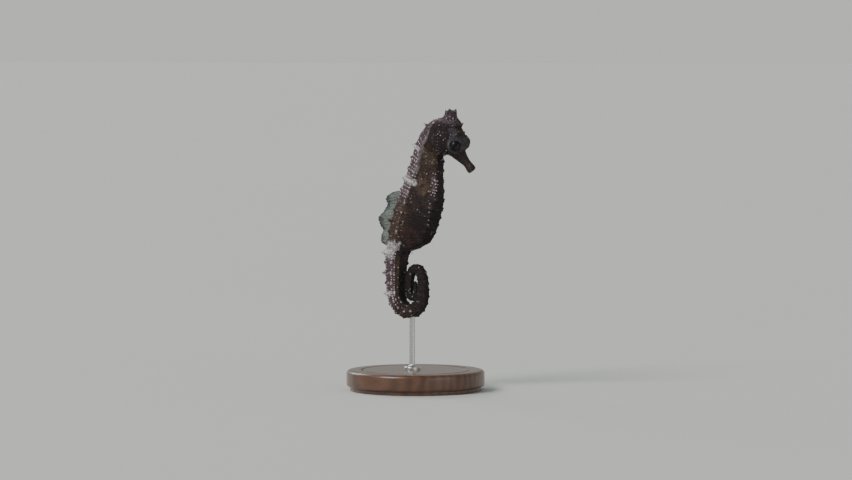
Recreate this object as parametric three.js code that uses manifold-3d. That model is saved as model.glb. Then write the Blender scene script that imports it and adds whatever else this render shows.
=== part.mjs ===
// A long-snouted seahorse as a life-size, still museum model, held on a turned base by one short rod.
// Millimetres, +Z up. The animal faces +X and its left side is +Y. The origin is on the floor under the
// middle of the base.
//
// The whole animal is one tube of bony rings. A place along it is a ring number g: below 0 the snout, head
// and nape, 1 to 11 the trunk, 12 to 48 the tail. A place around it is a ridge number v: 0 dorsal midline,
// 1 superior ridge, 2 lateral ridge, 3 inferior ridge, 4 ventral midline.
import * as THREE from "three";
import { mergeVertices } from "three/addons/utils/BufferGeometryUtils.js";
import Module from "manifold-3d";

const wasm = await Module();
wasm.setup();

// ---- Driving dimensions, in mm and degrees ----
const BASE = { radius: 27, height: 8, foot: 25.6, footHeight: 1.6, bevel: 1.4 };
// The rod stands under this ring of the tail.
const ROD = { ring: 18.6, radius: 1.1, collarRadius: 3.2, collarHeight: 2.4, depthInTail: 2.6 };
const LIFT = 28; // floor to the lowest point of the coil
const GAP = 0.3; // clear space where two solids meet
const TRUNK_RINGS = 11;
const LAST_RING = 48;
const HEAD_ROLL = 13; // the head's own lean towards its right side
const HEAD_CENTRE = 69.5; // height of that lean's axis above the coil's foot

// The eye sits off centre in a round turret, and looks forward of straight sideways.
const TURRET = { x: 21.0, y: 1.85, z: 68.6, radius: 3.3 };
const EYE = { radius: 2.45, out: 1.1, gaze: 33 };
const GILL_COVER = { x: 15.2, y: 3.0, z: 69.8, radii: [4.3, 1.6, 5.0] };
const CORONET = {
  x: 19.7, z: 77.0, lean: -3, height: 4.7, foot: 3.4, waist: 1.9, top: 2.0, spine: 0.9, back: 5.5,
};
const DORSAL_FIN = { from: 5.0, to: 10.65, height: 9.6, thickness: 0.6, lean: [-25, -6], sway: 1.4 };
const PECTORAL_FIN = {
  g: 0.15, from: 2.3, to: 2.85, length: 4.2, fan: [-42, 6], standOff: 10, thickness: 0.55,
};
const ANAL_FIN = { g: 10.8, length: 1.8, width: 1.3, thickness: 0.5 };

// Stations of the snout, head, neck and trunk: ring number g, dorsal and ventral point in the plane of
// symmetry (x, height above the coil's foot), half width.
const STATIONS = [
  [-8.0, [27.2, 59.1], [24.5, 56.8], 1.7], // lips
  [-7.4, [26.6, 60.0], [23.8, 57.6], 1.85], // muzzle
  [-6.3, [25.1, 61.7], [22.6, 59.6], 1.6], // snout
  [-5.3, [23.8, 64.0], [20.3, 61.3], 1.95], // snout root
  [-4.6, [23.1, 66.3], [19.0, 62.3], 2.5], // lower orbit
  [-3.7, [22.9, 70.2], [17.7, 63.2], 3.0], // brow
  [-2.9, [22.9, 74.3], [16.7, 63.8], 3.4], // forehead
  [-2.2, [20.6, 77.2], [15.7, 64.1], 3.8], // crown
  [-1.5, [16.4, 78.7], [14.8, 64.2], 4.0], // gill cover
  [-0.9, [11.4, 78.3], [13.7, 64.1], 3.8], // nape
  [-0.4, [6.8, 76.0], [12.9, 63.6], 3.5],
  [0, [3.7, 72.4], [12.6, 62.6], 3.3], // shoulder girdle
  [1, [1.1, 67.6], [13.1, 60.8], 3.5],
  [2, [-0.4, 63.0], [13.3, 57.5], 3.7],
  [4, [-3.4, 54.8], [13.6, 49.7], 4.5],
  [5.5, [-5.9, 48.6], [13.3, 44.4], 5.1],
  [7, [-8.3, 42.5], [11.8, 39.4], 5.5], // deepest ring
  [9, [-11.2, 34.1], [9.6, 33.7], 5.2],
  [10, [-11.9, 30.0], [6.8, 30.0], 4.6],
  [10.5, [-12.6, 27.9], [1.2, 27.3], 4.0],
  [11, [-13.1, 25.7], [-5.1, 25.9], 3.5], // last trunk ring
];

// The tail's centreline: straight down, then half turns of four ellipses, each inside the last.
const TAIL_START = [-9.1, 25.8];
const HALF_TURNS = [
  { centre: [-3.0, 10.9], radii: [6.7, 8.2], sweep: 180 },
  { centre: [0.4, 13.6], radii: [3.3, 6.1], sweep: 180 },
  { centre: [-1.43, 9.8], radii: [1.47, 1.85], sweep: 180 },
  { centre: [-0.46, 9.8], radii: [0.5, 5.7], sweep: 55 },
];
const TAIL_DEPTH = 3.5; // half depth at ring 12
const TAIL_WIDTH = 3.25; // half width at ring 12
// The share of its size that the tail keeps from ring to ring, from ring 12, each for so many rings.
const TAIL_TAPERS = [[12, 0.95], [18, 0.965], [6, 0.92]];
const RING_TAPER = 0.946; // length of each tail ring over the one before it

// Half a cross section from the dorsal to the ventral midline: shares of half depth and half width.
const ROUND = [[1, 0], [0.707, 0.707], [0, 1], [-0.707, 0.707], [-1, 0]];
const OVAL = [[1, 0], [0.82, 0.6], [0.12, 1], [-0.66, 0.86], [-1, 0]];
const TRUNK = [[0.95, 0], [1, 0.5], [0.38, 1], [-0.76, 0.62], [-1, 0]];
const TAIL = [[0.93, 0], [1, 0.84], [0.06, 0.9], [-1, 0.8], [-0.93, 0]];
const SECTION_AT = [
  [-8, ROUND, 0],
  [-5, ROUND, 0],
  [-3.8, OVAL, 0.1],
  [-1, OVAL, 0.2],
  [0.6, TRUNK, 1],
  [10, TRUNK, 1],
  [11.4, TAIL, 1],
  [LAST_RING, TAIL, 1],
];

// ---- Small tools ----
const mix = (a, b, t) => a + (b - a) * t;
const clamp = (x, low, high) => Math.min(high, Math.max(low, x));
const ease = (t) => t * t * (3 - 2 * t);
const radians = THREE.MathUtils.degToRad;

// A smooth curve through (keys, values) at x, with slopes taken from the neighbours on each side.
function through(keys, values, x) {
  const last = keys.length - 1;
  let i = 0;
  while (i < last - 1 && x > keys[i + 1]) i += 1;
  const slope = (k) => {
    const a = Math.max(0, k - 1);
    const b = Math.min(last, k + 1);
    return (values[b] - values[a]) / (keys[b] - keys[a]);
  };
  const span = keys[i + 1] - keys[i];
  const t = clamp((x - keys[i]) / span, 0, 1);
  const t2 = t * t;
  const t3 = t2 * t;
  return (
    (2 * t3 - 3 * t2 + 1) * values[i] +
    (t3 - 2 * t2 + t) * span * slope(i) +
    (3 * t2 - 2 * t3) * values[i + 1] +
    (t3 - t2) * span * slope(i + 1)
  );
}

// ---- The line of the body ----
const KEYS = STATIONS.map((s) => s[0]);
const DORSAL_X = STATIONS.map((s) => s[1][0]);
const DORSAL_Z = STATIONS.map((s) => s[1][1]);
const VENTRAL_X = STATIONS.map((s) => s[2][0]);
const VENTRAL_Z = STATIONS.map((s) => s[2][1]);
const HALF_WIDTH = STATIONS.map((s) => s[3]);

function tailCurve() {
  const path = new THREE.CurvePath();
  const first = HALF_TURNS[0];
  const topOfTurn = new THREE.Vector2(first.centre[0] - first.radii[0], first.centre[1]);
  const start = new THREE.Vector2(...TAIL_START);
  path.add(new THREE.CubicBezierCurve(
    start,
    new THREE.Vector2(start.x - 0.5, start.y - 5),
    new THREE.Vector2(topOfTurn.x, topOfTurn.y + 5),
    topOfTurn,
  ));
  let end = topOfTurn;
  HALF_TURNS.forEach((turn, i) => {
    const startAngle = i % 2 === 0 ? Math.PI : 0;
    const arc = new THREE.EllipseCurve(
      ...turn.centre, ...turn.radii, startAngle, startAngle + radians(turn.sweep), false, 0,
    );
    path.add(new THREE.LineCurve(end, arc.getPoint(0)));
    path.add(arc);
    end = arc.getPoint(1);
  });
  return path;
}
const TAIL_CURVE = tailCurve();
TAIL_CURVE.arcLengthDivisions = 900;
const TAIL_LENGTH = TAIL_CURVE.getLength();
const TAIL_RINGS = LAST_RING - TRUNK_RINGS;

// The share of the tail's length that lies before ring number g.
const tailShare = (g) =>
  (1 - RING_TAPER ** (g - TRUNK_RINGS)) / (1 - RING_TAPER ** TAIL_RINGS);

// The tail's size at ring number g, as a share of its size at ring 12.
function tailSize(g) {
  let left = g - TRUNK_RINGS - 1;
  let size = 1;
  for (const [count, keep] of TAIL_TAPERS) {
    const rings = Math.min(left, count);
    size *= keep ** rings;
    left -= rings;
  }
  return size;
}

// The section of the body at ring number g: its middle, the unit vector to its dorsal side, half sizes.
function station(g) {
  if (g <= TRUNK_RINGS) {
    const dorsal = new THREE.Vector2(through(KEYS, DORSAL_X, g), through(KEYS, DORSAL_Z, g));
    const ventral = new THREE.Vector2(through(KEYS, VENTRAL_X, g), through(KEYS, VENTRAL_Z, g));
    const middle = dorsal.clone().add(ventral).multiplyScalar(0.5);
    const depth = dorsal.distanceTo(ventral) / 2;
    const up = dorsal.clone().sub(middle).normalize();
    return { middle, up, depth, width: through(KEYS, HALF_WIDTH, g) };
  }
  const share = clamp(tailShare(g), 0, 1);
  const middle = TAIL_CURVE.getPointAt(share);
  const near = 2.2 / TAIL_LENGTH;
  const ahead = TAIL_CURVE.getPointAt(Math.min(1, share + near));
  const behind = TAIL_CURVE.getPointAt(Math.max(0, share - near));
  const along = ahead.sub(behind).normalize();
  const settle = ease(clamp(g - TRUNK_RINGS, 0, 1));
  const taper = tailSize(g);
  return {
    middle,
    up: new THREE.Vector2(along.y, -along.x),
    depth: mix(4.0, TAIL_DEPTH * taper, settle),
    width: mix(3.5, TAIL_WIDTH * taper, settle),
  };
}

// The shares of half depth and half width at ridge number v, between flat faces and a rounded skin.
function section(g, v) {
  let i = 0;
  while (i < SECTION_AT.length - 2 && g > SECTION_AT[i + 1][0]) i += 1;
  const [ga, a, sharpA] = SECTION_AT[i];
  const [gb, b, sharpB] = SECTION_AT[i + 1];
  const t = ease(clamp((g - ga) / (gb - ga), 0, 1));
  const sharp = mix(sharpA, sharpB, t);
  // The corners on both sides of the midline, so that the curve through them crosses it level.
  const corners = [-1, 0, 1, 2, 3, 4, 5].map((k) => {
    const j = k < 0 ? -k : k > 4 ? 8 - k : k;
    const side = k < 0 || k > 4 ? -1 : 1;
    return [mix(a[j][0], b[j][0], t), side * mix(a[j][1], b[j][1], t)];
  });
  const at = (axis) => {
    const round = through([-1, 0, 1, 2, 3, 4, 5], corners.map((c) => c[axis]), v);
    const k = Math.min(3, Math.floor(v));
    return mix(round, mix(corners[k + 1][axis], corners[k + 2][axis], v - k), sharp);
  };
  return [at(0), at(1)];
}

// The head leans on its own axis: fully ahead of one ring number, and not at all past the other.
const FULL_LEAN = -2;
const LEAN_ENDS = 2.5;
function leanHead(g, point) {
  const angle = radians(HEAD_ROLL) * ease(clamp((LEAN_ENDS - g) / (LEAN_ENDS - FULL_LEAN), 0, 1));
  const height = point.z - HEAD_CENTRE;
  return new THREE.Vector3(
    point.x,
    point.y * Math.cos(angle) - height * Math.sin(angle),
    HEAD_CENTRE + point.y * Math.sin(angle) + height * Math.cos(angle),
  );
}

// A point of the body: ring number g, signed ridge number v (+ on the left side), share r of the way from
// the middle to the skin, and a further distance out in mm.
function bodyPoint(g, v, r = 1, out = 0) {
  const { middle, up, depth, width } = station(g);
  const [n, b] = section(g, Math.abs(v));
  const side = Math.sign(v) || 1;
  const towards = new THREE.Vector2(n * depth, b * width * side);
  const reach = towards.length();
  const scale = reach < 1e-6 ? 0 : (r * reach + out) / reach;
  const [dorsal, left] = [towards.x * scale, towards.y * scale];
  const flat = new THREE.Vector3(middle.x + up.x * dorsal, left, middle.y + up.y * dorsal);
  return leanHead(g, flat).add(new THREE.Vector3(0, 0, LIFT));
}

// ---- Spines ----
// Long spines stand on every third or fourth ring, short ones on the rest, and they shrink down the tail.
const LONG_RINGS = [1, 4, 8, 11, 13, 15];
const LAST_SPINE = 42;
const FIRST_FURROW = 0.4; // the skin is smooth ahead of this
const FURROW_DEPTH = 0.035; // share of the section lost between two rings
function spineLength(ring, v) {
  if (ring < 1 || ring > LAST_SPINE) return 0;
  const ridge = Math.abs(v);
  const onTrunk = ring <= TRUNK_RINGS;
  const fade = onTrunk ? 1 : 0.945 ** (ring - TRUNK_RINGS);
  const long = LONG_RINGS.includes(ring);
  if (ridge === 1) return (long ? 2.0 : 1.0) * fade;
  if (ridge === 2 && onTrunk) return long ? 1.1 : 0.65;
  if (ridge === 3) return (onTrunk ? 1.0 : 0.5) * fade;
  return 0;
}

// ---- Lengths of the body ----
// Rows of a length from ring number g0 to g1: one at each ring's crest and one close on each side of it,
// and on the trunk one in the furrow between.
function rowsBetween(g0, g1, offsets) {
  const rows = [];
  for (let ring = Math.ceil(g0 - 1); ring <= g1 + 1; ring += 1) {
    offsets.forEach((o) => rows.push(ring + o));
  }
  const inside = rows.filter((g) => g > g0 + 0.12 && g < g1 - 0.12);
  return [g0, ...inside, g1];
}
const TRUNK_ROWS = [-0.2, 0, 0.2, 0.5];
const TAIL_ROWS = [-0.3, 0, 0.3];
const evenRows = (g0, g1, count) =>
  Array.from({ length: count + 1 }, (_, i) => mix(g0, g1, i / count));

// Ridge numbers of the columns round a section, from the dorsal midline round the right side and back.
function columnRidges(columns) {
  return Array.from({ length: columns }, (_, i) => {
    const v = (8 * i) / columns;
    return v <= 4 ? -v : 8 - v;
  });
}

// Whether a ring number lies on a ring's crest, and how far the skin sinks beside it.
const onCrest = (g) => Math.abs(g - Math.round(g)) < 1e-6;
function sink(g) {
  if (g < FIRST_FURROW || onCrest(g)) return 1;
  return 1 - FURROW_DEPTH * Math.min(1, 4 * Math.abs(g - Math.round(g)));
}

// The step that draws an end's cap into its own length by half the gap, square to the section.
function endStep(g, into) {
  const inwards = bodyPoint(g + into, 0, 0).sub(bodyPoint(g, 0, 0));
  const across = bodyPoint(g, 0).sub(bodyPoint(g, 4)).normalize();
  return inwards.addScaledVector(across, -inwards.dot(across)).setLength(GAP / 2);
}

// One length of the body: a cylinder's side and flat caps, laid on the rings. Neighbouring lengths keep
// the gap.
function bodyLength(rows, columns, { openStart = true, openEnd = true } = {}) {
  const last = rows.length - 1;
  const cylinder = new THREE.CylinderGeometry(1, 1, 1, columns, last, false);
  for (const name of ["normal", "uv"]) cylinder.deleteAttribute(name);
  const merged = mergeVertices(cylinder, 1e-5);
  const ridges = columnRidges(columns);
  const place = merged.attributes.position;
  const none = new THREE.Vector3();
  const startStep = openStart ? endStep(rows[0], 0.02) : none;
  const endingStep = openEnd ? endStep(rows[last], -0.02) : none;
  for (let i = 0; i < place.count; i += 1) {
    const [x, y, z] = [place.getX(i), place.getY(i), place.getZ(i)];
    const row = Math.round((0.5 - y) * last);
    const g = rows[row];
    const turn = (Math.atan2(x, z) / (2 * Math.PI) + 1) % 1;
    const v = ridges[Math.round(turn * columns) % columns];
    const outside = Math.hypot(x, z) > 0.5;
    const spine = outside && onCrest(g) ? spineLength(Math.round(g), v) : 0;
    const point = bodyPoint(g, v, outside ? sink(g) : 0, spine);
    if (row === 0) point.add(startStep);
    if (row === last) point.add(endingStep);
    place.setXYZ(i, point.x, point.y, point.z);
  }
  return merged;
}

// ---- Solids for cutting and joining ----
function solidOf(geometry) {
  const plain = geometry.clone();
  for (const name of ["normal", "uv"]) plain.deleteAttribute(name);
  const merged = mergeVertices(plain, 1e-4);
  return new wasm.Manifold(new wasm.Mesh({
    numProp: 3,
    vertProperties: new Float32Array(merged.attributes.position.array),
    triVerts: new Uint32Array(merged.index.array),
  }));
}
function geometryOf(solid) {
  const mesh = solid.getMesh();
  return new THREE.BufferGeometry()
    .setAttribute("position", new THREE.BufferAttribute(new Float32Array(mesh.vertProperties), 3))
    .setIndex(new THREE.BufferAttribute(new Uint32Array(mesh.triVerts), 1));
}

// A cone with its foot at one point and its tip at another.
function spike(foot, tip, radius, sides = 6) {
  const along = tip.clone().sub(foot);
  const cone = new THREE.ConeGeometry(radius, along.length(), sides);
  cone.translate(0, along.length() / 2, 0);
  cone.applyQuaternion(new THREE.Quaternion().setFromUnitVectors(
    new THREE.Vector3(0, 1, 0), along.clone().normalize(),
  ));
  return cone.translate(foot.x, foot.y, foot.z);
}

// A point given on the head before it leans.
const onHead = (x, y, z) => leanHead(FULL_LEAN, new THREE.Vector3(x, y, z)).add(new THREE.Vector3(0, 0, LIFT));

// ---- Materials ----
const material = (color, roughness, extra = {}) =>
  new THREE.MeshStandardMaterial({ color, roughness, metalness: 0, ...extra });
const MATERIALS = {
  skin: material(0x4a3a38, 0.62),
  crown: material(0x5b4a50, 0.6),
  eye: material(0x1d2422, 0.18),
  fin: material(0x7f8f86, 0.4, { transparent: true, opacity: 0.6 }),
  wood: material(0x33231a, 0.4),
  steel: material(0x9a9a98, 0.3, { metalness: 1 }),
};

const seahorse = new THREE.Group();
function addPart(name, geometry, kind) {
  const mesh = new THREE.Mesh(geometry, MATERIALS[kind]);
  mesh.name = name;
  seahorse.add(mesh);
  return mesh;
}

// ---- Head, eyes and coronet ----
const LENGTH_ENDS = { snout: -5.2, head: -0.25, neck: 1.5 };

// A ball, or an ellipsoid, set on the head and leaning with it.
function headBall(x, y, z, radii) {
  const ball = new THREE.SphereGeometry(1, 14, 8);
  ball.rotateX(Math.PI / 2).scale(...radii).rotateX(radians(HEAD_ROLL));
  const at = onHead(x, y, z);
  return ball.translate(at.x, at.y, at.z);
}
const turret = (side) =>
  headBall(TURRET.x, side * TURRET.y, TURRET.z, new Array(3).fill(TURRET.radius));
function eyeBall(side, radius) {
  const forward = EYE.out * Math.sin(radians(EYE.gaze));
  const sideways = TURRET.y + EYE.out * Math.cos(radians(EYE.gaze));
  return headBall(TURRET.x + forward, side * sideways, TURRET.z, new Array(3).fill(radius));
}
const gillCover = (side) =>
  headBall(GILL_COVER.x, side * GILL_COVER.y, GILL_COVER.z, GILL_COVER.radii);

// The flat that the coronet stands on, as a slab to cut with.
function coronetPlane(depth) {
  const slab = new THREE.BoxGeometry(12, 14, 12).translate(0, 0, 6 + depth);
  slab.rotateY(radians(-CORONET.lean));
  slab.rotateX(radians(HEAD_ROLL));
  const at = onHead(CORONET.x, 0, CORONET.z);
  return slab.translate(at.x, at.y, at.z);
}

// Spines of the head: foot, tip and foot radius, the paired ones given for the left side.
const NOSE_SPINE = [[22.0, 0, 74.9], [25.0, 0, 77.1], 1.1];
const PAIRED_SPINES = [
  [[21.8, 2.1, 70.4], [22.8, 2.7, 73.1], 0.8], // brow
  [[17.2, 3.0, 66.0], [17.0, 4.9, 64.6], 0.8], // cheek
  [[9.6, 2.0, 75.2], [7.6, 3.2, 77.6], 1.1], // nape
];
function headSpikes() {
  const mirrored = ([x, y, z], side) => onHead(x, side * y, z);
  const paired = [-1, 1].flatMap((side) => PAIRED_SPINES.map(([foot, tip, radius]) =>
    spike(mirrored(foot, side), mirrored(tip, side), radius)));
  const [foot, tip, radius] = NOSE_SPINE;
  return [spike(onHead(...foot), onHead(...tip), radius), ...paired];
}

function head() {
  const rows = evenRows(LENGTH_ENDS.snout, LENGTH_ENDS.head, 16);
  let solid = solidOf(bodyLength(rows, 24));
  for (const side of [-1, 1]) solid = solid.add(solidOf(turret(side))).add(solidOf(gillCover(side)));
  for (const cone of headSpikes()) solid = solid.add(solidOf(cone));
  for (const side of [-1, 1]) solid = solid.subtract(solidOf(eyeBall(side, EYE.radius + GAP)));
  return geometryOf(solid.subtract(solidOf(coronetPlane(0))));
}

// A waisted crown whose top edge rises in five points, and whose back slopes down to the nape.
function coronet() {
  const { height, foot, waist, top, spine, back } = CORONET;
  const POINTS = 5;
  const SIDES = 20;
  const profile = [
    [0, -1.2], [foot, -1.2], [mix(foot, waist, 0.7), height * 0.3], [waist, height * 0.62],
    [top, height], [top * 0.55, height - 0.5], [0, height - 0.9],
  ].map(([r, y]) => new THREE.Vector2(r, y));
  const crown = new THREE.LatheGeometry(profile, SIDES);
  crown.rotateX(Math.PI / 2);
  for (const name of ["normal", "uv"]) crown.deleteAttribute(name);
  const merged = mergeVertices(crown, 1e-4);
  const place = merged.attributes.position;
  for (let i = 0; i < place.count; i += 1) {
    const [x, y, z] = [place.getX(i), place.getY(i), place.getZ(i)];
    const r = Math.hypot(x, y);
    const star = Math.max(0, Math.cos(POINTS * Math.atan2(y, x))) ** 2;
    const high = clamp(z / height, 0, 1) ** 2;
    const grow = r > 1e-3 ? 1 + (0.32 * star * high) : 1;
    const rise = z > height - 0.1 ? spine * star : 0;
    const slope = x < 0 ? 1 + 1.8 * (1 - clamp(z / height, 0, 1)) ** 0.6 : 1;
    place.setXYZ(i, Math.max(x * grow * slope, -back), y * 0.82 * grow, z + rise);
  }
  merged.rotateY(radians(-CORONET.lean));
  merged.rotateX(radians(HEAD_ROLL));
  const at = onHead(CORONET.x, 0, CORONET.z);
  const solid = solidOf(merged.translate(at.x, at.y, at.z));
  return geometryOf(solid.intersect(solidOf(coronetPlane(GAP))));
}

// ---- Fins ----
// A fin is a grid of points bent to shape and given a thickness: rows run out from the root, columns along it.
function finPlate(columns, rows, thickness, place) {
  const plate = new THREE.BoxGeometry(1, 1, 1, columns, rows, 1);
  for (const name of ["normal", "uv"]) plate.deleteAttribute(name);
  const merged = mergeVertices(plate, 1e-5);
  const points = merged.attributes.position;
  for (let i = 0; i < points.count; i += 1) {
    const u = points.getX(i) + 0.5;
    const t = points.getY(i) + 0.5;
    const half = points.getZ(i) * thickness;
    const at = place(u, t, half);
    points.setXYZ(i, at.x, at.y, at.z);
  }
  return merged;
}

// The dorsal fin ripples: one wave takes up this share of its root, and the first crest is this far down.
const WAVE_SHARE = 0.4;
const WAVE_START = 0.05;
// The fin's height along its root, as a share of the greatest: lower towards the tail, with round ends.
function finHeight(u) {
  const slope = mix(0.93, 1, ease(clamp(u / 0.45, 0, 1))) * (1 - 0.5 * ease(clamp((u - 0.4) / 0.6, 0, 1)));
  const front = 1 - 0.3 * clamp(1 - u / 0.06, 0, 1) ** 2;
  const end = Math.sqrt(1 - clamp((u - 0.8) / 0.2, 0, 0.97) ** 2);
  return slope * front * end;
}

function dorsalFin() {
  const { from, to, height, thickness, lean, sway } = DORSAL_FIN;
  return finPlate(26, 5, thickness, (u, t, half) => {
    const g = mix(from, to, u);
    const root = bodyPoint(g, 0, 1, GAP);
    const out = root.clone().sub(bodyPoint(g, 0, 0)).normalize();
    const angle = radians(mix(...lean, u));
    const ray = out.applyAxisAngle(new THREE.Vector3(0, 1, 0), angle);
    const wave = Math.cos((2 * Math.PI * (u - WAVE_START)) / WAVE_SHARE);
    const reach = t * height * finHeight(u);
    return root.addScaledVector(ray, reach).add(new THREE.Vector3(0, half - sway * t * wave, 0));
  });
}

function pectoralFin(side) {
  const { g, from, to, length, fan, thickness, standOff } = PECTORAL_FIN;
  return finPlate(8, 4, thickness, (u, t, half) => {
    const v = side * mix(from, to, u);
    const root = bodyPoint(g, v, 1, GAP + thickness / 2);
    const out = root.clone().sub(bodyPoint(g, v, 0.5)).normalize();
    const back = bodyPoint(g + 0.6, v).sub(bodyPoint(g, v)).normalize();
    const down = bodyPoint(g, side * 3).sub(bodyPoint(g, side * 1.4)).normalize();
    const angle = radians(mix(...fan, u));
    const ray = back.clone().multiplyScalar(Math.cos(angle)).addScaledVector(down, Math.sin(angle));
    ray.multiplyScalar(Math.cos(radians(standOff))).addScaledVector(out, Math.sin(radians(standOff)));
    const edge = Math.sin(Math.PI * (0.2 + 0.6 * u)) ** 0.7;
    return root.addScaledVector(ray, t * length * edge).addScaledVector(out, side * half);
  });
}

function analFin() {
  const { g, length, width, thickness } = ANAL_FIN;
  const root = bodyPoint(g, 4, 1, GAP + 0.1);
  const out = root.clone().sub(bodyPoint(g, 4, 0.5)).normalize();
  const down = new THREE.Vector3(0, 0, -1);
  return finPlate(4, 4, thickness, (u, t, half) => {
    const across = (u - 0.5) * width * (0.5 + 0.9 * t);
    return root.clone()
      .addScaledVector(out, t * length * 0.75 + across * 0.3)
      .addScaledVector(down, t * length * 0.6 - across * 0.6)
      .add(new THREE.Vector3(0, half, 0));
  });
}

// ---- Stand ----
const ROD_X = bodyPoint(ROD.ring, 0).x;

function standBase() {
  const { radius, height, foot, footHeight, bevel } = BASE;
  const profile = [
    [0, 0], [foot, 0], [foot, footHeight], [radius, footHeight + 0.6], [radius, height - bevel],
    [radius - bevel, height], [0, height],
  ].map(([r, y]) => new THREE.Vector2(r, y));
  return new THREE.LatheGeometry(profile, 48).rotateX(Math.PI / 2);
}
function standRod() {
  const { radius, collarRadius, collarHeight, depthInTail } = ROD;
  const bottom = BASE.height + GAP;
  const top = LIFT + depthInTail;
  const profile = [
    [0, bottom], [collarRadius, bottom], [collarRadius, bottom + collarHeight * 0.6],
    [collarRadius - 0.7, bottom + collarHeight], [radius, bottom + collarHeight], [radius, top], [0, top],
  ].map(([r, y]) => new THREE.Vector2(r, y));
  return new THREE.LatheGeometry(profile, 20).rotateX(Math.PI / 2).translate(ROD_X, 0, 0);
}
// The socket that the rod fills, with the gap all round.
function rodSocket() {
  const tall = ROD.depthInTail + GAP + 6;
  const hole = new THREE.CylinderGeometry(ROD.radius + GAP, ROD.radius + GAP, tall, 20);
  return hole.rotateX(Math.PI / 2).translate(ROD_X, 0, LIFT + ROD.depthInTail + GAP - tall / 2);
}

// ---- Assembly ----
addPart("snout", bodyLength(evenRows(-8, LENGTH_ENDS.snout, 7), 16, { openStart: false }), "skin");
addPart("head", head(), "skin");
addPart("coronet", coronet(), "crown");
addPart("eye_right", eyeBall(-1, EYE.radius), "eye");
addPart("eye_left", eyeBall(1, EYE.radius), "eye");
addPart("neck", bodyLength(rowsBetween(LENGTH_ENDS.head, LENGTH_ENDS.neck, TRUNK_ROWS), 16), "skin");

const TRUNK_LENGTHS = [["trunk_upper", 1.5, 4.5], ["trunk_middle", 4.5, 8.5], ["trunk_lower", 8.5, 11.5]];
for (const [name, g0, g1] of TRUNK_LENGTHS) {
  addPart(name, bodyLength(rowsBetween(g0, g1, TRUNK_ROWS), 16), "skin");
}

const TAIL_ENDS = [11.5, 15.5, 20.5, 24.5, 29.5, 35.5, 41.5, LAST_RING];
const SLENDER_FROM = 24; // past this ring the flat faces carry no more rows of points than their edges
TAIL_ENDS.slice(0, -1).forEach((g0, i) => {
  const g1 = TAIL_ENDS[i + 1];
  const tip = g1 === LAST_RING;
  const columns = g0 < SLENDER_FROM ? 16 : 8;
  let geometry = bodyLength(rowsBetween(g0, g1, TAIL_ROWS), columns, { openEnd: !tip });
  if (g0 < ROD.ring && g1 > ROD.ring) {
    geometry = geometryOf(solidOf(geometry).subtract(solidOf(rodSocket())));
  }
  addPart(`tail_${i + 1}`, geometry, "skin");
});

addPart("dorsal_fin", dorsalFin(), "fin");
addPart("pectoral_fin_right", pectoralFin(-1), "fin");
addPart("pectoral_fin_left", pectoralFin(1), "fin");
addPart("anal_fin", analFin(), "fin");
addPart("stand_base", standBase(), "wood");
addPart("stand_rod", standRod(), "steel");

export default seahorse;
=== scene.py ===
"""Dresses a life-size seahorse on its stand: one bony skin, wet eyes, rayed fins and a turned base."""

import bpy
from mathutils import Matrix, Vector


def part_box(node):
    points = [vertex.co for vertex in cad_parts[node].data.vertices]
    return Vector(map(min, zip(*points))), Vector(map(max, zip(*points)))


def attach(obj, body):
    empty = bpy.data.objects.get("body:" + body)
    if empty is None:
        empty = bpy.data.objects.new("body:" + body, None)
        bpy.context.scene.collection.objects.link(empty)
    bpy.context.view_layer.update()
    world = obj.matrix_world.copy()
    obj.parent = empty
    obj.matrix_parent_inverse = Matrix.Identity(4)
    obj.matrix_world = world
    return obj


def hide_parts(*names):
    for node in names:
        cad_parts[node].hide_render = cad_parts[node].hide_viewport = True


bl_info = {
    "name": "Seahorse display model",
    "version": (1, 0, 0),
    "blender": (4, 5, 0),
    "location": "3D View > Sidebar > Seahorse",
    "description": "Builds the finish of a life-size seahorse around its packed solids",
    "category": "Object",
}

import math

import bmesh
import bpy
import numpy as np
from bpy.props import FloatProperty, FloatVectorProperty, IntProperty, PointerProperty
from mathutils import Matrix, Vector, kdtree

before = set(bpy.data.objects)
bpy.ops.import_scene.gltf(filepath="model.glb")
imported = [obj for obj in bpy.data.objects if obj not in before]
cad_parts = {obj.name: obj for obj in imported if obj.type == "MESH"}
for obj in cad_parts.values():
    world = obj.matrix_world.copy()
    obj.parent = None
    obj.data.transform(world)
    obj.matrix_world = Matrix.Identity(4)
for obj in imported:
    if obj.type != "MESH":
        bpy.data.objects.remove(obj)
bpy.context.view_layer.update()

MM = 0.001
IMAGE_WIDTH, IMAGE_HEIGHT = 852, 480

# ---- The line of the body, in mm ----
# A place along the body is a ring number g: below 0 the snout, head and nape, 1 to 11 the trunk, 12 to 48
# the tail. A place around it is a ridge number v: 0 dorsal midline, 1 superior, 2 lateral and 3 inferior
# ridge, 4 ventral midline, + on the left side. The origin's height is the coil's foot.
LIFT = 28.0
TRUNK_RINGS, LAST_RING = 11, 48
# The head leans to its right about an axis HEAD_CENTRE high, fully up to ring FULL_LEAN and less and less
# from there to ring LEAN_ENDS.
HEAD_ROLL, HEAD_CENTRE = math.radians(13), 69.5
FULL_LEAN, LEAN_ENDS = -2.0, 2.5
TURRET = {"x": 21.0, "y": 1.85, "z": 68.6, "radius": 3.3}
EYE = {"radius": 2.45, "out": 1.1, "gaze": math.radians(33)}
SOCKET_OPENING = math.radians(42)
PUPIL_TURN, PUPIL_DIP = math.radians(8), math.radians(10)
GILL_COVER = {"x": 15.2, "y": 3.0, "z": 69.8, "radii": (4.3, 1.6, 5.0)}
CORONET = {"x": 19.7, "z": 77.0, "radius": 3.4, "height": 4.7, "lean": math.radians(-3), "back": 5.5}

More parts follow.
